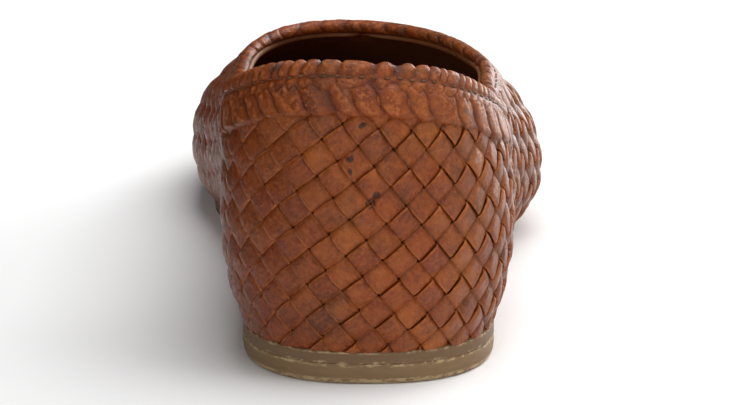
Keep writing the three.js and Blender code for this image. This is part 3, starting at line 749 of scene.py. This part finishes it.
def shown_stretches(first_family):
    """Stretches of every strip that lie between sole and collar. A strip that reaches the
    back seam is followed across it from the outer leg, and left out on the inner one."""
    numbers = np.arange(-LATTICE_SPAN, LATTICE_SPAN)
    along = np.arange(-LATTICE_SPAN * STEPS_PER_CROSSING, LATTICE_SPAN * STEPS_PER_CROSSING + 1)
    along = along / STEPS_PER_CROSSING
    middle = numbers[:, None] + 0.5
    flat = lattice(middle, along) if first_family else lattice(along, middle)
    # Where each strip's straight line crosses the line of the back seam
    start = FIRST_START - SEAM if first_family else SECOND_START + SEAM
    seam_x = middle * DIAMOND + start
    which, turn, climb = from_flat(across_seam(flat))
    at = on_last(which, turn, climb)
    cover = mix(COLLAR_COVER, THROAT_COVER, smooth((at[..., 1] - THROAT_START) / THROAT_EASE))
    shown = (climb > -SOLE_TUCK) & (at[..., 2] < top_line(at) - cover)
    past, inner_leg = flat[..., 1] < SEAM, flat[..., 0] < 0
    followed = (np.abs(seam_x) > 1) & (np.abs(seam_x) < QUARTER_GIRTH + 2 * DIAMOND)
    shown &= ~(past & (inner_leg | ~followed | (seam_x < 0)))
    shown &= ~(inner_leg & followed & (seam_x < 0))
    stretches = []
    for number, row in zip(numbers, shown):
        edges = np.flatnonzero(np.diff(np.concatenate([[0], row.astype(int), [0]])))
        for begin, end in edges.reshape(-1, 2):
            if end - begin > STEPS_PER_CROSSING // 2:
                stretches.append((number, along[max(0, begin - 1):end + 1]))
    return stretches


def strip_tube(number, along, first_family):
    """One strip as rings of a closed flat tube. It rises over its even crossings and dips
    under the odd ones as a flattened cosine, narrows at the dips and sways a little. Where
    it lies on top one edge stands proud, the other one on the other side of the shoe.
    Gives, for each point, the flat place, the height over the last, the nearness to the
    edge, the rise over the middle of the weave, the tone and the place along and across."""
    across, ring_height = STRIP_RING.T
    swing = np.cos(np.pi * (along - 0.5)) * (1 if number % 2 == 0 else -1)
    swing = swing if first_family else -swing
    over = np.tanh(FLATTENING * swing) / math.tanh(FLATTENING)
    width = 1.0 - NARROWING * (1 - np.abs(swing)) ** 2
    sway = SWAY * np.sin(along * SWAY_RATE + rng.uniform(0, 6.28)) + rng.normal(0, SWAY_SPREAD)
    place_across = number + 0.5 + sway[:, None] + 0.5 * width[:, None] * across
    lengthwise = np.broadcast_to(along[:, None], place_across.shape)
    pair = (place_across, lengthwise) if first_family else (lengthwise, place_across)
    flat = lattice(*pair)
    lean = np.clip(flat[..., 0] / EDGE_TILT_REACH, -1, 1) * (-1 if first_family else 1)
    thick = STRIP_THICKNESS / 2 * rng.uniform(*THICKNESS_SPREAD)
    height = WEAVE_MIDDLE + WAVE_HEIGHT * over[:, None] + thick * ring_height
    height = height + EDGE_TILT * lean * across * np.maximum(0, over)[:, None]
    crossing = np.floor(along).astype(int) + LATTICE_SPAN - 1
    crossing_tone = rng.uniform(0, 1, 2 * LATTICE_SPAN)[crossing]
    tone = STRIP_TONE * rng.uniform(0, 1) + (1 - STRIP_TONE) * crossing_tone
    edge, rise, tone = (np.broadcast_to(value, flat.shape[:2])
                        for value in (np.abs(across), over[:, None], tone[:, None]))
    uv = np.stack([lengthwise * STRIP_WIDTH + UV_ALONG * rng.uniform(0, 9),
                   np.broadcast_to(across, flat.shape[:2]) * STRIP_WIDTH / 2 + UV_ACROSS * number], -1)
    return flat, height, edge, rise, tone, uv


def weave(name, first_family, finish):
    """All strips of one direction in one piece, each a closed tube carried by the last."""
    tubes, quads, caps = [], [], []
    count, ring = 0, len(STRIP_RING)
    for number, along in shown_stretches(first_family):
        tubes.append(strip_tube(number, along, first_family))
        quads.append(grid_faces(len(along), ring, closed_columns=True) + count)
        caps += end_caps(count, len(along), ring)
        count += len(along) * ring
    flat, height, edge, rise, tone, uv = (np.concatenate(parts) for parts in zip(*tubes))
    point, normal = place_and_normal(flat.reshape(-1, 2))
    points = point + normal * height.reshape(-1, 1)
    points[:, 2] = np.maximum(points[:, 2], sole_top(points[:, 1]) - SOLE_TUCK)
    # The rise is stored as height, which the finish turns into painted shade where strips dip
    put_in(name, points, np.concatenate(quads), finish, ["upper"],
           {"edge": edge, "height": rise, "tone": tone}, uv.reshape(-1, 2), caps)


# Collar

LOWEST_RIM_CLIMB = 10


def climb_to_rim(surface, drop=0.0):
    """For each turn of one side: which climb of the table is the first above the rim, or
    0 where the last stays below it, and how far above the rim each point of it lies."""
    over = surface[..., 2] - (top_line(surface) - drop)
    over[:, CLIMBS < LOWEST_RIM_CLIMB] = -1
    return np.argmax(over > 0, 1), over


def top_line_row():
    """Closed row of flat places along the top line, up the outer side and back down the
    inner one, with the flat way down across the line and the length along it."""
    halves = []
    for which, side in enumerate(SIDES):
        column, over = climb_to_rim(SURFACE[which])
        end = int(np.argmax(column == 0))
        rows, column, turn = np.arange(end), column[:end], TURNS[:end]
        low, high = over[rows, column - 1], over[rows, column]
        climb = CLIMBS[column - 1] + CLIMB_STEP * low / (low - high)
        flat = to_flat(side, turn, climb)
        before, after = np.roll(flat, 3, 0), np.roll(flat, -3, 0)
        before[:3], after[-3:] = flat[0], flat[-1]
        way = unit(after - before) * side
        down = np.stack([way[:, 1], -way[:, 0]], -1)
        halves.append((on_last(np.full(end, which), turn, climb), flat, down))
    at, flat, down = (np.concatenate([outer, inner[::-1][:-1]]) for outer, inner in zip(*halves))
    steps = np.linalg.norm(np.diff(np.concatenate([at, at[:1]]), axis=0), axis=1)
    return flat, down, np.concatenate([[0], np.cumsum(steps)])


def rim_places(count):
    """Flat places and ways down at equal steps round the top line, read straight between
    its places from the back seam round to the back seam."""
    flat, down, length = top_line_row()
    total = length[-1]
    want = np.arange(count) * total / count
    i = np.clip(np.searchsorted(length, want, side="right") - 1, 0, len(flat) - 1)
    j = np.minimum(i + 1, len(flat) - 1)
    f = np.clip((want - length[i]) / np.maximum(TINY, length[i + 1] - length[i]), 0, 1)[:, None]
    return mix(flat[i], flat[j], f), unit(mix(down[i], down[j], f)), want, total


RIM_STEPS = 1100

# Places down from the rim, and how long the pointed ends of the lobes are
RIM_RADIUS = 1.5
STITCH_LINE = 3.5
TIP_PLACE, TIP_LENGTH = 5.0, 1.4
COLLAR_FOOT = 12.2

# How far out of the last: the band's foot, the step up to its wall, how much thinner that
# is near the rim, the middle of the rim's round, the wall inside and where it ends
BAND_FOOT, BAND_STEP, THINNER_AT_RIM = 0.05, 0.55, 0.15
RIM_MIDDLE, INSIDE_WALL, INSIDE_END = -1.05, -2.65, -1.6

# Pitch of the folds along the rim, wider at the back seam and on the throat
FOLD_PITCH = 2.8
BACK_FOLD_EXTRA, BACK_FOLD_REACH = 4.6, 6.5
THROAT_FOLD_EXTRA = 3.2
WIDEST_FOLD = -1
PLAIT_PITCH = 6.2

# Slant of the folds and the plaits to the length of rim, and how uneven their pitch is
FOLD_LEAN, STRAIGHTER_AT_BACK, THROAT_LEAN = 0.45, 0.6, 1.6
PLAIT_LEAN, PLAIT_BEND = 0.62, 0.5
FOLD_WANDER, PLAIT_WANDER = 0.09, 0.11

# Length from the back seam from which the collar is the throat's, and its gradual start
THROAT_AWAY, THROAT_AWAY_EASE = 80, 40

# Height of the lobes over the edge, less at the back and on the throat
LOBE_HEIGHT, LESS_AT_BACK, LESS_ON_THROAT = 0.78, 0.3, 0.5
TIP_HEIGHT = 0.5
PLAIT_BASE, PLAIT_HEIGHT = 0.15, 0.65
SEAM_BED_HEIGHT = 0.15
LOBE_ROUNDNESS, PLAIT_ROUNDNESS = 2.8, 3.6


def bell(x, reach):
    """1 at 0, falling off on both sides as a normal curve of that reach."""
    return np.exp(-(x / reach) ** 2 / 2)


def wander(length, total, waves, size):
    """Seeded wavering along the rim, the same at both ends: a sum of a few sines."""
    phase = rng.uniform(0, 2 * np.pi, len(waves))
    return size * sum(np.sin(2 * np.pi * k * length / total + p) for k, p in zip(waves, phase))


def count_round(length, total, pitch):
    """Running count of folds along the rim, a whole number in all."""
    rate = 1 / pitch
    step = total / len(length)
    running = np.concatenate([[0], np.cumsum(rate)[:-1]]) * step
    whole = round(float(rate.sum() * step))
    return running * whole / float(rate.sum() * step), whole


def hump(count, roundness):
    """One rounded fold for each whole count, with a crease between two: 1 - |t|^roundness
    with t from -1 to 1 across the fold."""
    return 1 - np.abs(2 * (count - np.floor(count)) - 1) ** roundness


def read_round(values, length, total, whole, at):
    """A running count read at other places along the rim, past its ends too."""
    turns = np.floor(at / total)
    x = at - turns * total
    return np.interp(x, np.append(length, total), np.append(values, whole)) + turns * whole


def collar_section():
    """Section of the band from its foot on the outside, over the rim in half a round, to
    its foot inside. Gives for each place how far down it lies, how far out, how far folds
    push it over the edge and outwards, and how much of them shows there."""
    outside = np.linspace(COLLAR_FOOT, RIM_RADIUS, 34)
    arc = np.linspace(0, np.pi, 12)[1:]
    inside = [4.0, 8.0, COLLAR_FOOT, COLLAR_FOOT + 0.3]
    down = np.concatenate([outside, RIM_RADIUS - RIM_RADIUS * np.sin(arc), inside])
    step = BAND_STEP * smooth((COLLAR_FOOT - outside) / 0.6)
    thinner = THINNER_AT_RIM * smooth((TIP_PLACE - outside) / 2)
    out = np.concatenate([BAND_FOOT + step - thinner, RIM_MIDDLE + RIM_RADIUS * np.cos(arc),
                          3 * [INSIDE_WALL] + [INSIDE_END]])
    flat_wall, no_wall = np.ones(len(outside)), np.zeros(len(inside))
    over_way = np.concatenate([0 * flat_wall, np.sin(arc), no_wall])
    out_way = np.concatenate([flat_wall, np.cos(arc), no_wall])
    shows = np.concatenate([flat_wall, smooth((np.pi - arc) / 1.2), no_wall])
    return down, out, over_way, out_way, shows


def collar(finish):
    """Bound edge: a band swept round the top line. Folded lobes lie over its edge, their
    pointed ends show under the stitching, and below them plaits bulge between creases that
    run down to the right. All are humps of counts that run along the rim. Round the throat
    the lobes are long, low wraps."""
    flat, down, length, total = rim_places(RIM_STEPS)
    signed = np.where(length > total / 2, length - total, length)
    throat = smooth((np.abs(signed) - THROAT_AWAY) / THROAT_AWAY_EASE)
    wide = BACK_FOLD_EXTRA * bell(signed - WIDEST_FOLD, BACK_FOLD_REACH)
    folds, fold_count = count_round(length, total, FOLD_PITCH + wide + THROAT_FOLD_EXTRA * throat)
    folds = folds + wander(length, total, (31, 47, 73), FOLD_WANDER)
    plaits, plait_count = count_round(length, total, np.full(RIM_STEPS, PLAIT_PITCH))
    plaits = plaits + wander(length, total, (13, 29, 41), PLAIT_WANDER)
    at_back = bell(signed - WIDEST_FOLD, 10)

    section_down, section_out, over_way, out_way, shows = collar_section()
    w = np.broadcast_to(section_down, (RIM_STEPS, len(section_down)))
    r = length[:, None]
    fold_slant = FOLD_LEAN * (1 - STRAIGHTER_AT_BACK * at_back) + THROAT_LEAN * throat
    fold = read_round(folds, length, total, fold_count, r + fold_slant[:, None] * w)
    lobe = hump(fold, LOBE_ROUNDNESS)
    tip = TIP_PLACE + TIP_LENGTH * hump(fold, 1)
    under_tips = w - TIP_PLACE
    plait_lean = PLAIT_LEAN * under_tips + PLAIT_BEND * np.sin(under_tips * 0.9)
    plait_number = read_round(plaits, length, total, plait_count, r - plait_lean)
    plait = hump(plait_number, PLAIT_ROUNDNESS)

    top_row = smooth((STITCH_LINE - 0.1 - w) / 0.8)
    tips = smooth((w - STITCH_LINE - 0.3) / 0.5) * smooth((tip - w) / 0.45)
    below = smooth((w - tip + 0.1) / 0.7) * smooth((COLLAR_FOOT + 0.3 - w) / 1.6)
    seam_bed = np.clip(1 - top_row - tips - below, 0, 1)
    lobe_height = (LOBE_HEIGHT - LESS_AT_BACK * at_back - LESS_ON_THROAT * throat)[:, None]
    raised = lobe_height * lobe * top_row + TIP_HEIGHT * lobe * tips
    raised = raised + (PLAIT_BASE + PLAIT_HEIGHT * plait) * below
    raised = (raised + SEAM_BED_HEIGHT * seam_bed) * shows
    covered = lobe * (top_row + tips) + plait * below + 0.6 * seam_bed
    # Crease: where no fold covers the band; the finish turns it into painted shade
    crease = np.clip(1 - covered, 0, 1) * shows
    # Each fold and plait has a tone of its own, scattered by its number
    tone = np.floor(fold) * 0.37 % 1 * (top_row + tips) + np.floor(plait_number) * 0.61 % 1 * below

    edge_drop = 0.35 * (1 - lobe) * (w < RIM_RADIUS + 0.1)
    foot_wave = 0.9 * (plait - 0.6) * smooth((w - 8) / 4) * smooth((13 - w) / 0.5)
    w_there = w + edge_drop + foot_wave - over_way * raised * 0.8
    where = flat[:, None] + down[:, None] * w_there[..., None]
    point, normal = place_and_normal(where.reshape(-1, 2))
    points = point + normal * (section_out + out_way * raised).reshape(-1, 1)
    faces = grid_faces(RIM_STEPS, len(section_down), True, True)
    put_in("collar", points, faces, finish, ["upper"],
           {"crease": crease, "tone": 0.25 + 0.6 * tone})


STITCH_PITCH, STITCH_RUN = 2.8, 1.6
STITCH_STEPS, STITCH_RING = 5, 6
THREAD_RADIUS = 0.21
THREAD_OUT, THREAD_BOW = 0.62, 0.22
RIM_READINGS = 4000


def stitches(finish):
    """Stitch line of the collar: each stitch a short bowed thread with both ends sunk."""
    flat, down, _, total = rim_places(RIM_READINGS)
    count = int(total / STITCH_PITCH)
    start = np.arange(count)[:, None]
    at = (start + np.linspace(0, STITCH_RUN / STITCH_PITCH, STITCH_STEPS)) * total / count
    i = np.round(at / total * RIM_READINGS).astype(int) % RIM_READINGS
    t = np.linspace(-1, 1, STITCH_STEPS)
    angle = np.arange(STITCH_RING) / STITCH_RING * 2 * np.pi
    radius = THREAD_RADIUS * np.sqrt(1.05 - t**2)[:, None]
    w = STITCH_LINE + 0.15 * np.sin(at * 0.8)[..., None] + radius * np.cos(angle)
    out = THREAD_OUT + THREAD_BOW * (1 - t**2)[:, None] + radius * np.sin(angle)
    where = flat[i][:, :, None] + down[i][:, :, None] * w[..., None]
    point, normal = place_and_normal(where.reshape(-1, 2))
    points = point + normal * np.broadcast_to(out, where.shape[:-1]).reshape(-1, 1)
    starts = np.arange(count) * STITCH_STEPS * STITCH_RING
    one = grid_faces(STITCH_STEPS, STITCH_RING, closed_columns=True)
    faces = (one + starts[:, None, None]).reshape(-1, 4)
    caps = [cap for first in starts.tolist() for cap in end_caps(first, STITCH_STEPS, STITCH_RING)]
    put_in("collar_stitches", points, faces, finish, [], caps=caps)


# Lining and sole

LINING_INNER, LINING_OUTER = -2.75, -1.9
LINING_BELOW_RIM = 1.3
LIP_OUT = 0.75


def joined_runs(*runs):
    """Places in even steps, from runs of start, end and count that meet end to end."""
    places = [np.linspace(start, end, count)[:-1] for start, end, count in runs]
    return np.concatenate([*places, [runs[-1][1]]])


def lining(finish):
    """Thin shell inside the weave: for each turn a strip from the seat to just under the
    rim, where it ends in a turned lip, or to the ridge over the vamp, with an inner and an
    outer face. The lip is a half round, the square root of 1 - t^2."""
    turns = joined_runs((0, 1, 40), (1, 1.8, 50), (1.8, 2, 61), (2, 3, 40))
    up = np.concatenate([np.linspace(0, 0.94, 14), np.linspace(0.955, 1, 5)])
    lip = LIP_OUT * np.sqrt(np.clip(1 - ((up - 0.98) / 0.021) ** 2, 0, 1))
    row = np.round(turns / TURNS[1]).astype(int)
    rings = []
    for which, side in enumerate(SIDES):
        column, _ = climb_to_rim(SURFACE[which, row], LINING_BELOW_RIM)
        ends_at_rim = column > 0
        whole = SECTION_LENGTH[which, row]
        top = np.minimum(np.where(ends_at_rim, CLIMBS[column], whole), whole)
        climb = mix(-1.0, top[:, None], up)
        flat = to_flat(side, np.broadcast_to(turns[:, None], climb.shape), climb)
        point, normal = place_and_normal(flat)
        inner_face = point + normal * (LINING_INNER - lip * ends_at_rim[:, None])[..., None]
        rings.append(np.concatenate([inner_face, (point + normal * LINING_OUTER)[:, ::-1]], 1))
    points = np.concatenate([rings[OUTER], rings[INNER][::-1][1:-1]])
    faces = grid_faces(*points.shape[:2], True, True)
    lit = np.broadcast_to(np.concatenate([lip, lip[::-1] * 0]) > 0, points.shape[:2])
    put_in("lining", points.reshape(-1, 3), faces, finish, ["upper"],
           {"lip": lit})


def outline(turns, inset):
    """Whole outline of the sole in plan: up the outer side and back down the inner one."""
    outer = spine(turns) + reach(1, turns, SOLE, inset)
    inner = spine(turns) + reach(-1, turns, SOLE, inset)
    return np.concatenate([outer, inner[-2:0:-1]])


def slab(name, rings, finish, nodes):
    """Closed slab from rings of equal count, its lids drawn across from side to side."""
    points = np.stack(rings)
    count = points.shape[1]
    half, top = count // 2, (len(rings) - 1) * count
    i = np.arange(1, half - 1)
    lid = np.stack([i, i + 1, count - i - 1, count - i], -1)
    ends = [[0, 1, count - 1], [half - 1, half, half + 1]]
    walls = grid_faces(len(rings), count, closed_columns=True)
    faces = np.concatenate([walls, lid + top, lid[:, ::-1]])
    caps = [[k + top for k in end] for end in ends] + [end[::-1] for end in ends]
    put_in(name, points.reshape(-1, 3), faces, finish, nodes, caps=caps)


SOLE_TURNS = joined_runs((0, 1, 41), (1, 2, 61), (2, 3, 51))
SEAM_HEIGHT = HEEL_SEAT_HEIGHT - OUTSOLE_THICKNESS


def on_sole(inset, lift):
    """Outline of the sole with an inset, lifted over the height of the sole's top."""
    plan = outline(SOLE_TURNS, inset)
    return np.concatenate([plan, (sole_top(plan[:, 1]) + lift)[:, None]], 1)


def outsole(finish):
    """Outsole: its lower edge a small quarter round, its upper edge just broken."""
    edge = 0.12
    profile = [(edge * (1 - math.sin(a)), edge * (1 - math.cos(a)) - OUTSOLE_THICKNESS)
               for a in np.linspace(0, np.pi / 2, 5)]
    profile += [(0.0, -0.45), (0.12, -0.16), (0.4, 0.0)]
    slab("outsole_edge", [on_sole(inset, lift) for inset, lift in profile], finish,
         ["outsole"])


def heel_lift(finish):
    """Heel lift: the outline cut off at the breast, rounded under as the photo shows. Its
    profile gives inset and height, from the floor to the seam under the outsole."""
    top = SEAM_HEIGHT - 0.05
    profile = ((1.6, 0.0), (1.0, 0.12), (0.5, 0.5), (0.15, 1.2), (0.0, 2.2), (0.0, top - 0.15),
               (0.06, top - 0.04), (0.15, top))
    share = np.linspace(0, 1, 50)
    turns = np.linspace(1, 2, 400)
    ends = []
    for side in SIDES:
        y = (spine(turns) + reach(side, turns, SOLE))[:, 1]
        ends.append(float(np.interp(HEEL_BREAST, y, turns)))
    rings = []
    for inset, height in profile:
        halves = []
        for end, side in zip(ends, SIDES):
            plan = spine(share * end) + reach(side, share * end, SOLE, inset)
            plan[:, 1] = np.minimum(plan[:, 1], HEEL_BREAST - inset)
            halves.append(plan)
        outer, inner = halves
        front = np.array([[(outer[-1, 0] + inner[-1, 0]) / 2, HEEL_BREAST - inset]])
        plan = np.concatenate([outer, front, inner[:0:-1]])
        rings.append(np.concatenate([plan, np.full((len(plan), 1), height)], 1))
    slab("heel_block", rings, finish, ["heel_lift"])


def insole(finish):
    """Insole board with a softened upper edge. Its profile gives inset and depth under the
    board's top."""
    profile = ((0, INSOLE_THICKNESS), (0, 0.7), (0.2, 0.2), (0.7, 0))
    rings = [on_sole(LINED_INSET + inset, GLUE_GAP + (INSOLE_THICKNESS - depth))
             for inset, depth in profile]
    slab("sock_lining", rings, finish, ["insole"])


# Camera, floor and light

PHOTO_WIDTH, PHOTO_HEIGHT = 740, 405
CAMERA_DISTANCE = 855
CAMERA_ELEVATION = math.radians(13.6)
CAMERA_YAW = math.radians(1.4)
CAMERA_ASIDE = 39.2
CAMERA_AIM_HEIGHT = 44.4
PHOTO_FOCAL_PIXELS = 4050
SHOE_MIDDLE_PIXEL = (554, 209.5)
SENSOR_WIDTH = 36
FRAME_FILL = 0.94

FLOOR_REACH = 4.0
ROOM_LIGHT = 0.06
LIGHT_AIM = (0, 0, 0.03)

# Name, place, size and power
LIGHTS = (
    ("overhead", (0.45, 0.0, 1.5), 1.6, 30),
    ("right", (1.3, -0.5, 0.7), 0.8, 2),
    ("behind", (-0.35, -1.5, 0.6), 0.5, 6),
    ("past the toe", (1.1, 1.5, 0.4), 0.9, 26),
)


def set_camera():
    """Camera where the photo was taken from, turned to put the one shoe in the middle."""
    ahead_flat = np.array([-math.sin(CAMERA_YAW), math.cos(CAMERA_YAW), 0])
    right = np.array([math.cos(CAMERA_YAW), math.sin(CAMERA_YAW), 0])
    up = np.array([0, 0, 1])
    level = math.cos(CAMERA_ELEVATION)
    dip = math.sin(CAMERA_ELEVATION)
    ahead = ahead_flat * level - up * dip
    over = ahead_flat * dip + up * level
    origin = -right * CAMERA_ASIDE + up * CAMERA_AIM_HEIGHT
    position = (origin - ahead * CAMERA_DISTANCE) / 1000 + SHIFT
    aside = (SHOE_MIDDLE_PIXEL[0] - PHOTO_WIDTH / 2) / PHOTO_FOCAL_PIXELS
    higher = (PHOTO_HEIGHT / 2 - SHOE_MIDDLE_PIXEL[1]) / PHOTO_FOCAL_PIXELS
    look = Vector(ahead + right * aside + over * higher)
    data = bpy.data.cameras.new("photo camera")
    data.sensor_width = SENSOR_WIDTH
    data.lens = PHOTO_FOCAL_PIXELS / PHOTO_WIDTH * SENSOR_WIDTH * FRAME_FILL
    data.clip_start, data.clip_end = 0.05, 20
    camera = bpy.data.objects.new("photo camera", data)
    camera.location = position.tolist()
    camera.rotation_mode = "QUATERNION"
    camera.rotation_quaternion = look.to_track_quat("-Z", "Y")
    bpy.context.scene.collection.objects.link(camera)
    bpy.context.scene.camera = camera


def soft_light(name, position, size, power):
    """Square light that looks at the shoe."""
    data = bpy.data.lights.new(name, "AREA")
    data.size = size
    data.energy = power
    light = bpy.data.objects.new(name, data)
    light.location = position
    light.rotation_mode = "QUATERNION"
    light.rotation_quaternion = (Vector(LIGHT_AIM) - Vector(position)).to_track_quat("-Z", "Y")
    bpy.context.scene.collection.objects.link(light)


def stage_sheet(name, corners, colour):
    """One matt four-cornered sheet of the studio, no part of the shoe."""
    mesh = bpy.data.meshes.new(name)
    mesh.from_pydata(corners, [], [(0, 1, 2, 3)])
    paint = Finish(name, 0.9, specular=0.1)
    mesh.materials.append(paint.done(colour))
    sheet = bpy.data.objects.new(name, mesh)
    bpy.context.scene.collection.objects.link(sheet)
    return sheet


def set_studio():
    """Pale floor, soft lights, and a low dark card on the left, as the photo's left side
    has dark surroundings. The card shows only in the gloss of the leather."""
    far = FLOOR_REACH
    stage_sheet("pale floor", [(-far, -far, 0), (far, -far, 0), (far, far, 0), (-far, far, 0)],
                (0.93, 0.93, 0.93, 1.0))
    aside, front, behind, foot, head = -0.1, 0.45, -0.25, 0.001, 0.14
    card = stage_sheet("dark card", [(aside, front, foot), (aside, behind, foot),
                                     (aside, behind, head), (aside, front, head)],
                       srgb(50, 26, 18))
    card.visible_camera = False
    card.visible_diffuse = False
    card.visible_shadow = False
    world = bpy.data.worlds.new("soft room")
    world.use_nodes = True
    world.node_tree.nodes["Background"].inputs["Color"].default_value = (1, 1, 1, 1)
    world.node_tree.nodes["Background"].inputs["Strength"].default_value = ROOM_LIGHT
    bpy.context.scene.world = world
    for light in LIGHTS:
        soft_light(*light)


bpy.context.scene.view_settings.view_transform = "Standard"
set_camera()
set_studio()
woven = strip_leather()
lined = lining_leather()
weave("strips_first_lay", True, woven)
weave("strips_second_lay", False, woven)
collar(collar_leather())
stitches(waxed_thread())
lining(lined)
outsole(sole_rubber(
    "outsole rubber", srgb(128, 100, 68), srgb(102, 76, 52),
    ((SEAM_HEIGHT, SEAM_HEIGHT + 0.3, 0.4), (HEEL_SEAT_HEIGHT - 0.3, HEEL_SEAT_HEIGHT + 0.2, 0.5))))
heel_lift(sole_rubber(
    "heel rubber", srgb(142, 114, 78), srgb(116, 90, 60),
    ((0.0, 1.2, 0.9), (SEAM_HEIGHT - 0.5, SEAM_HEIGHT, 0.6))))
insole(lined)
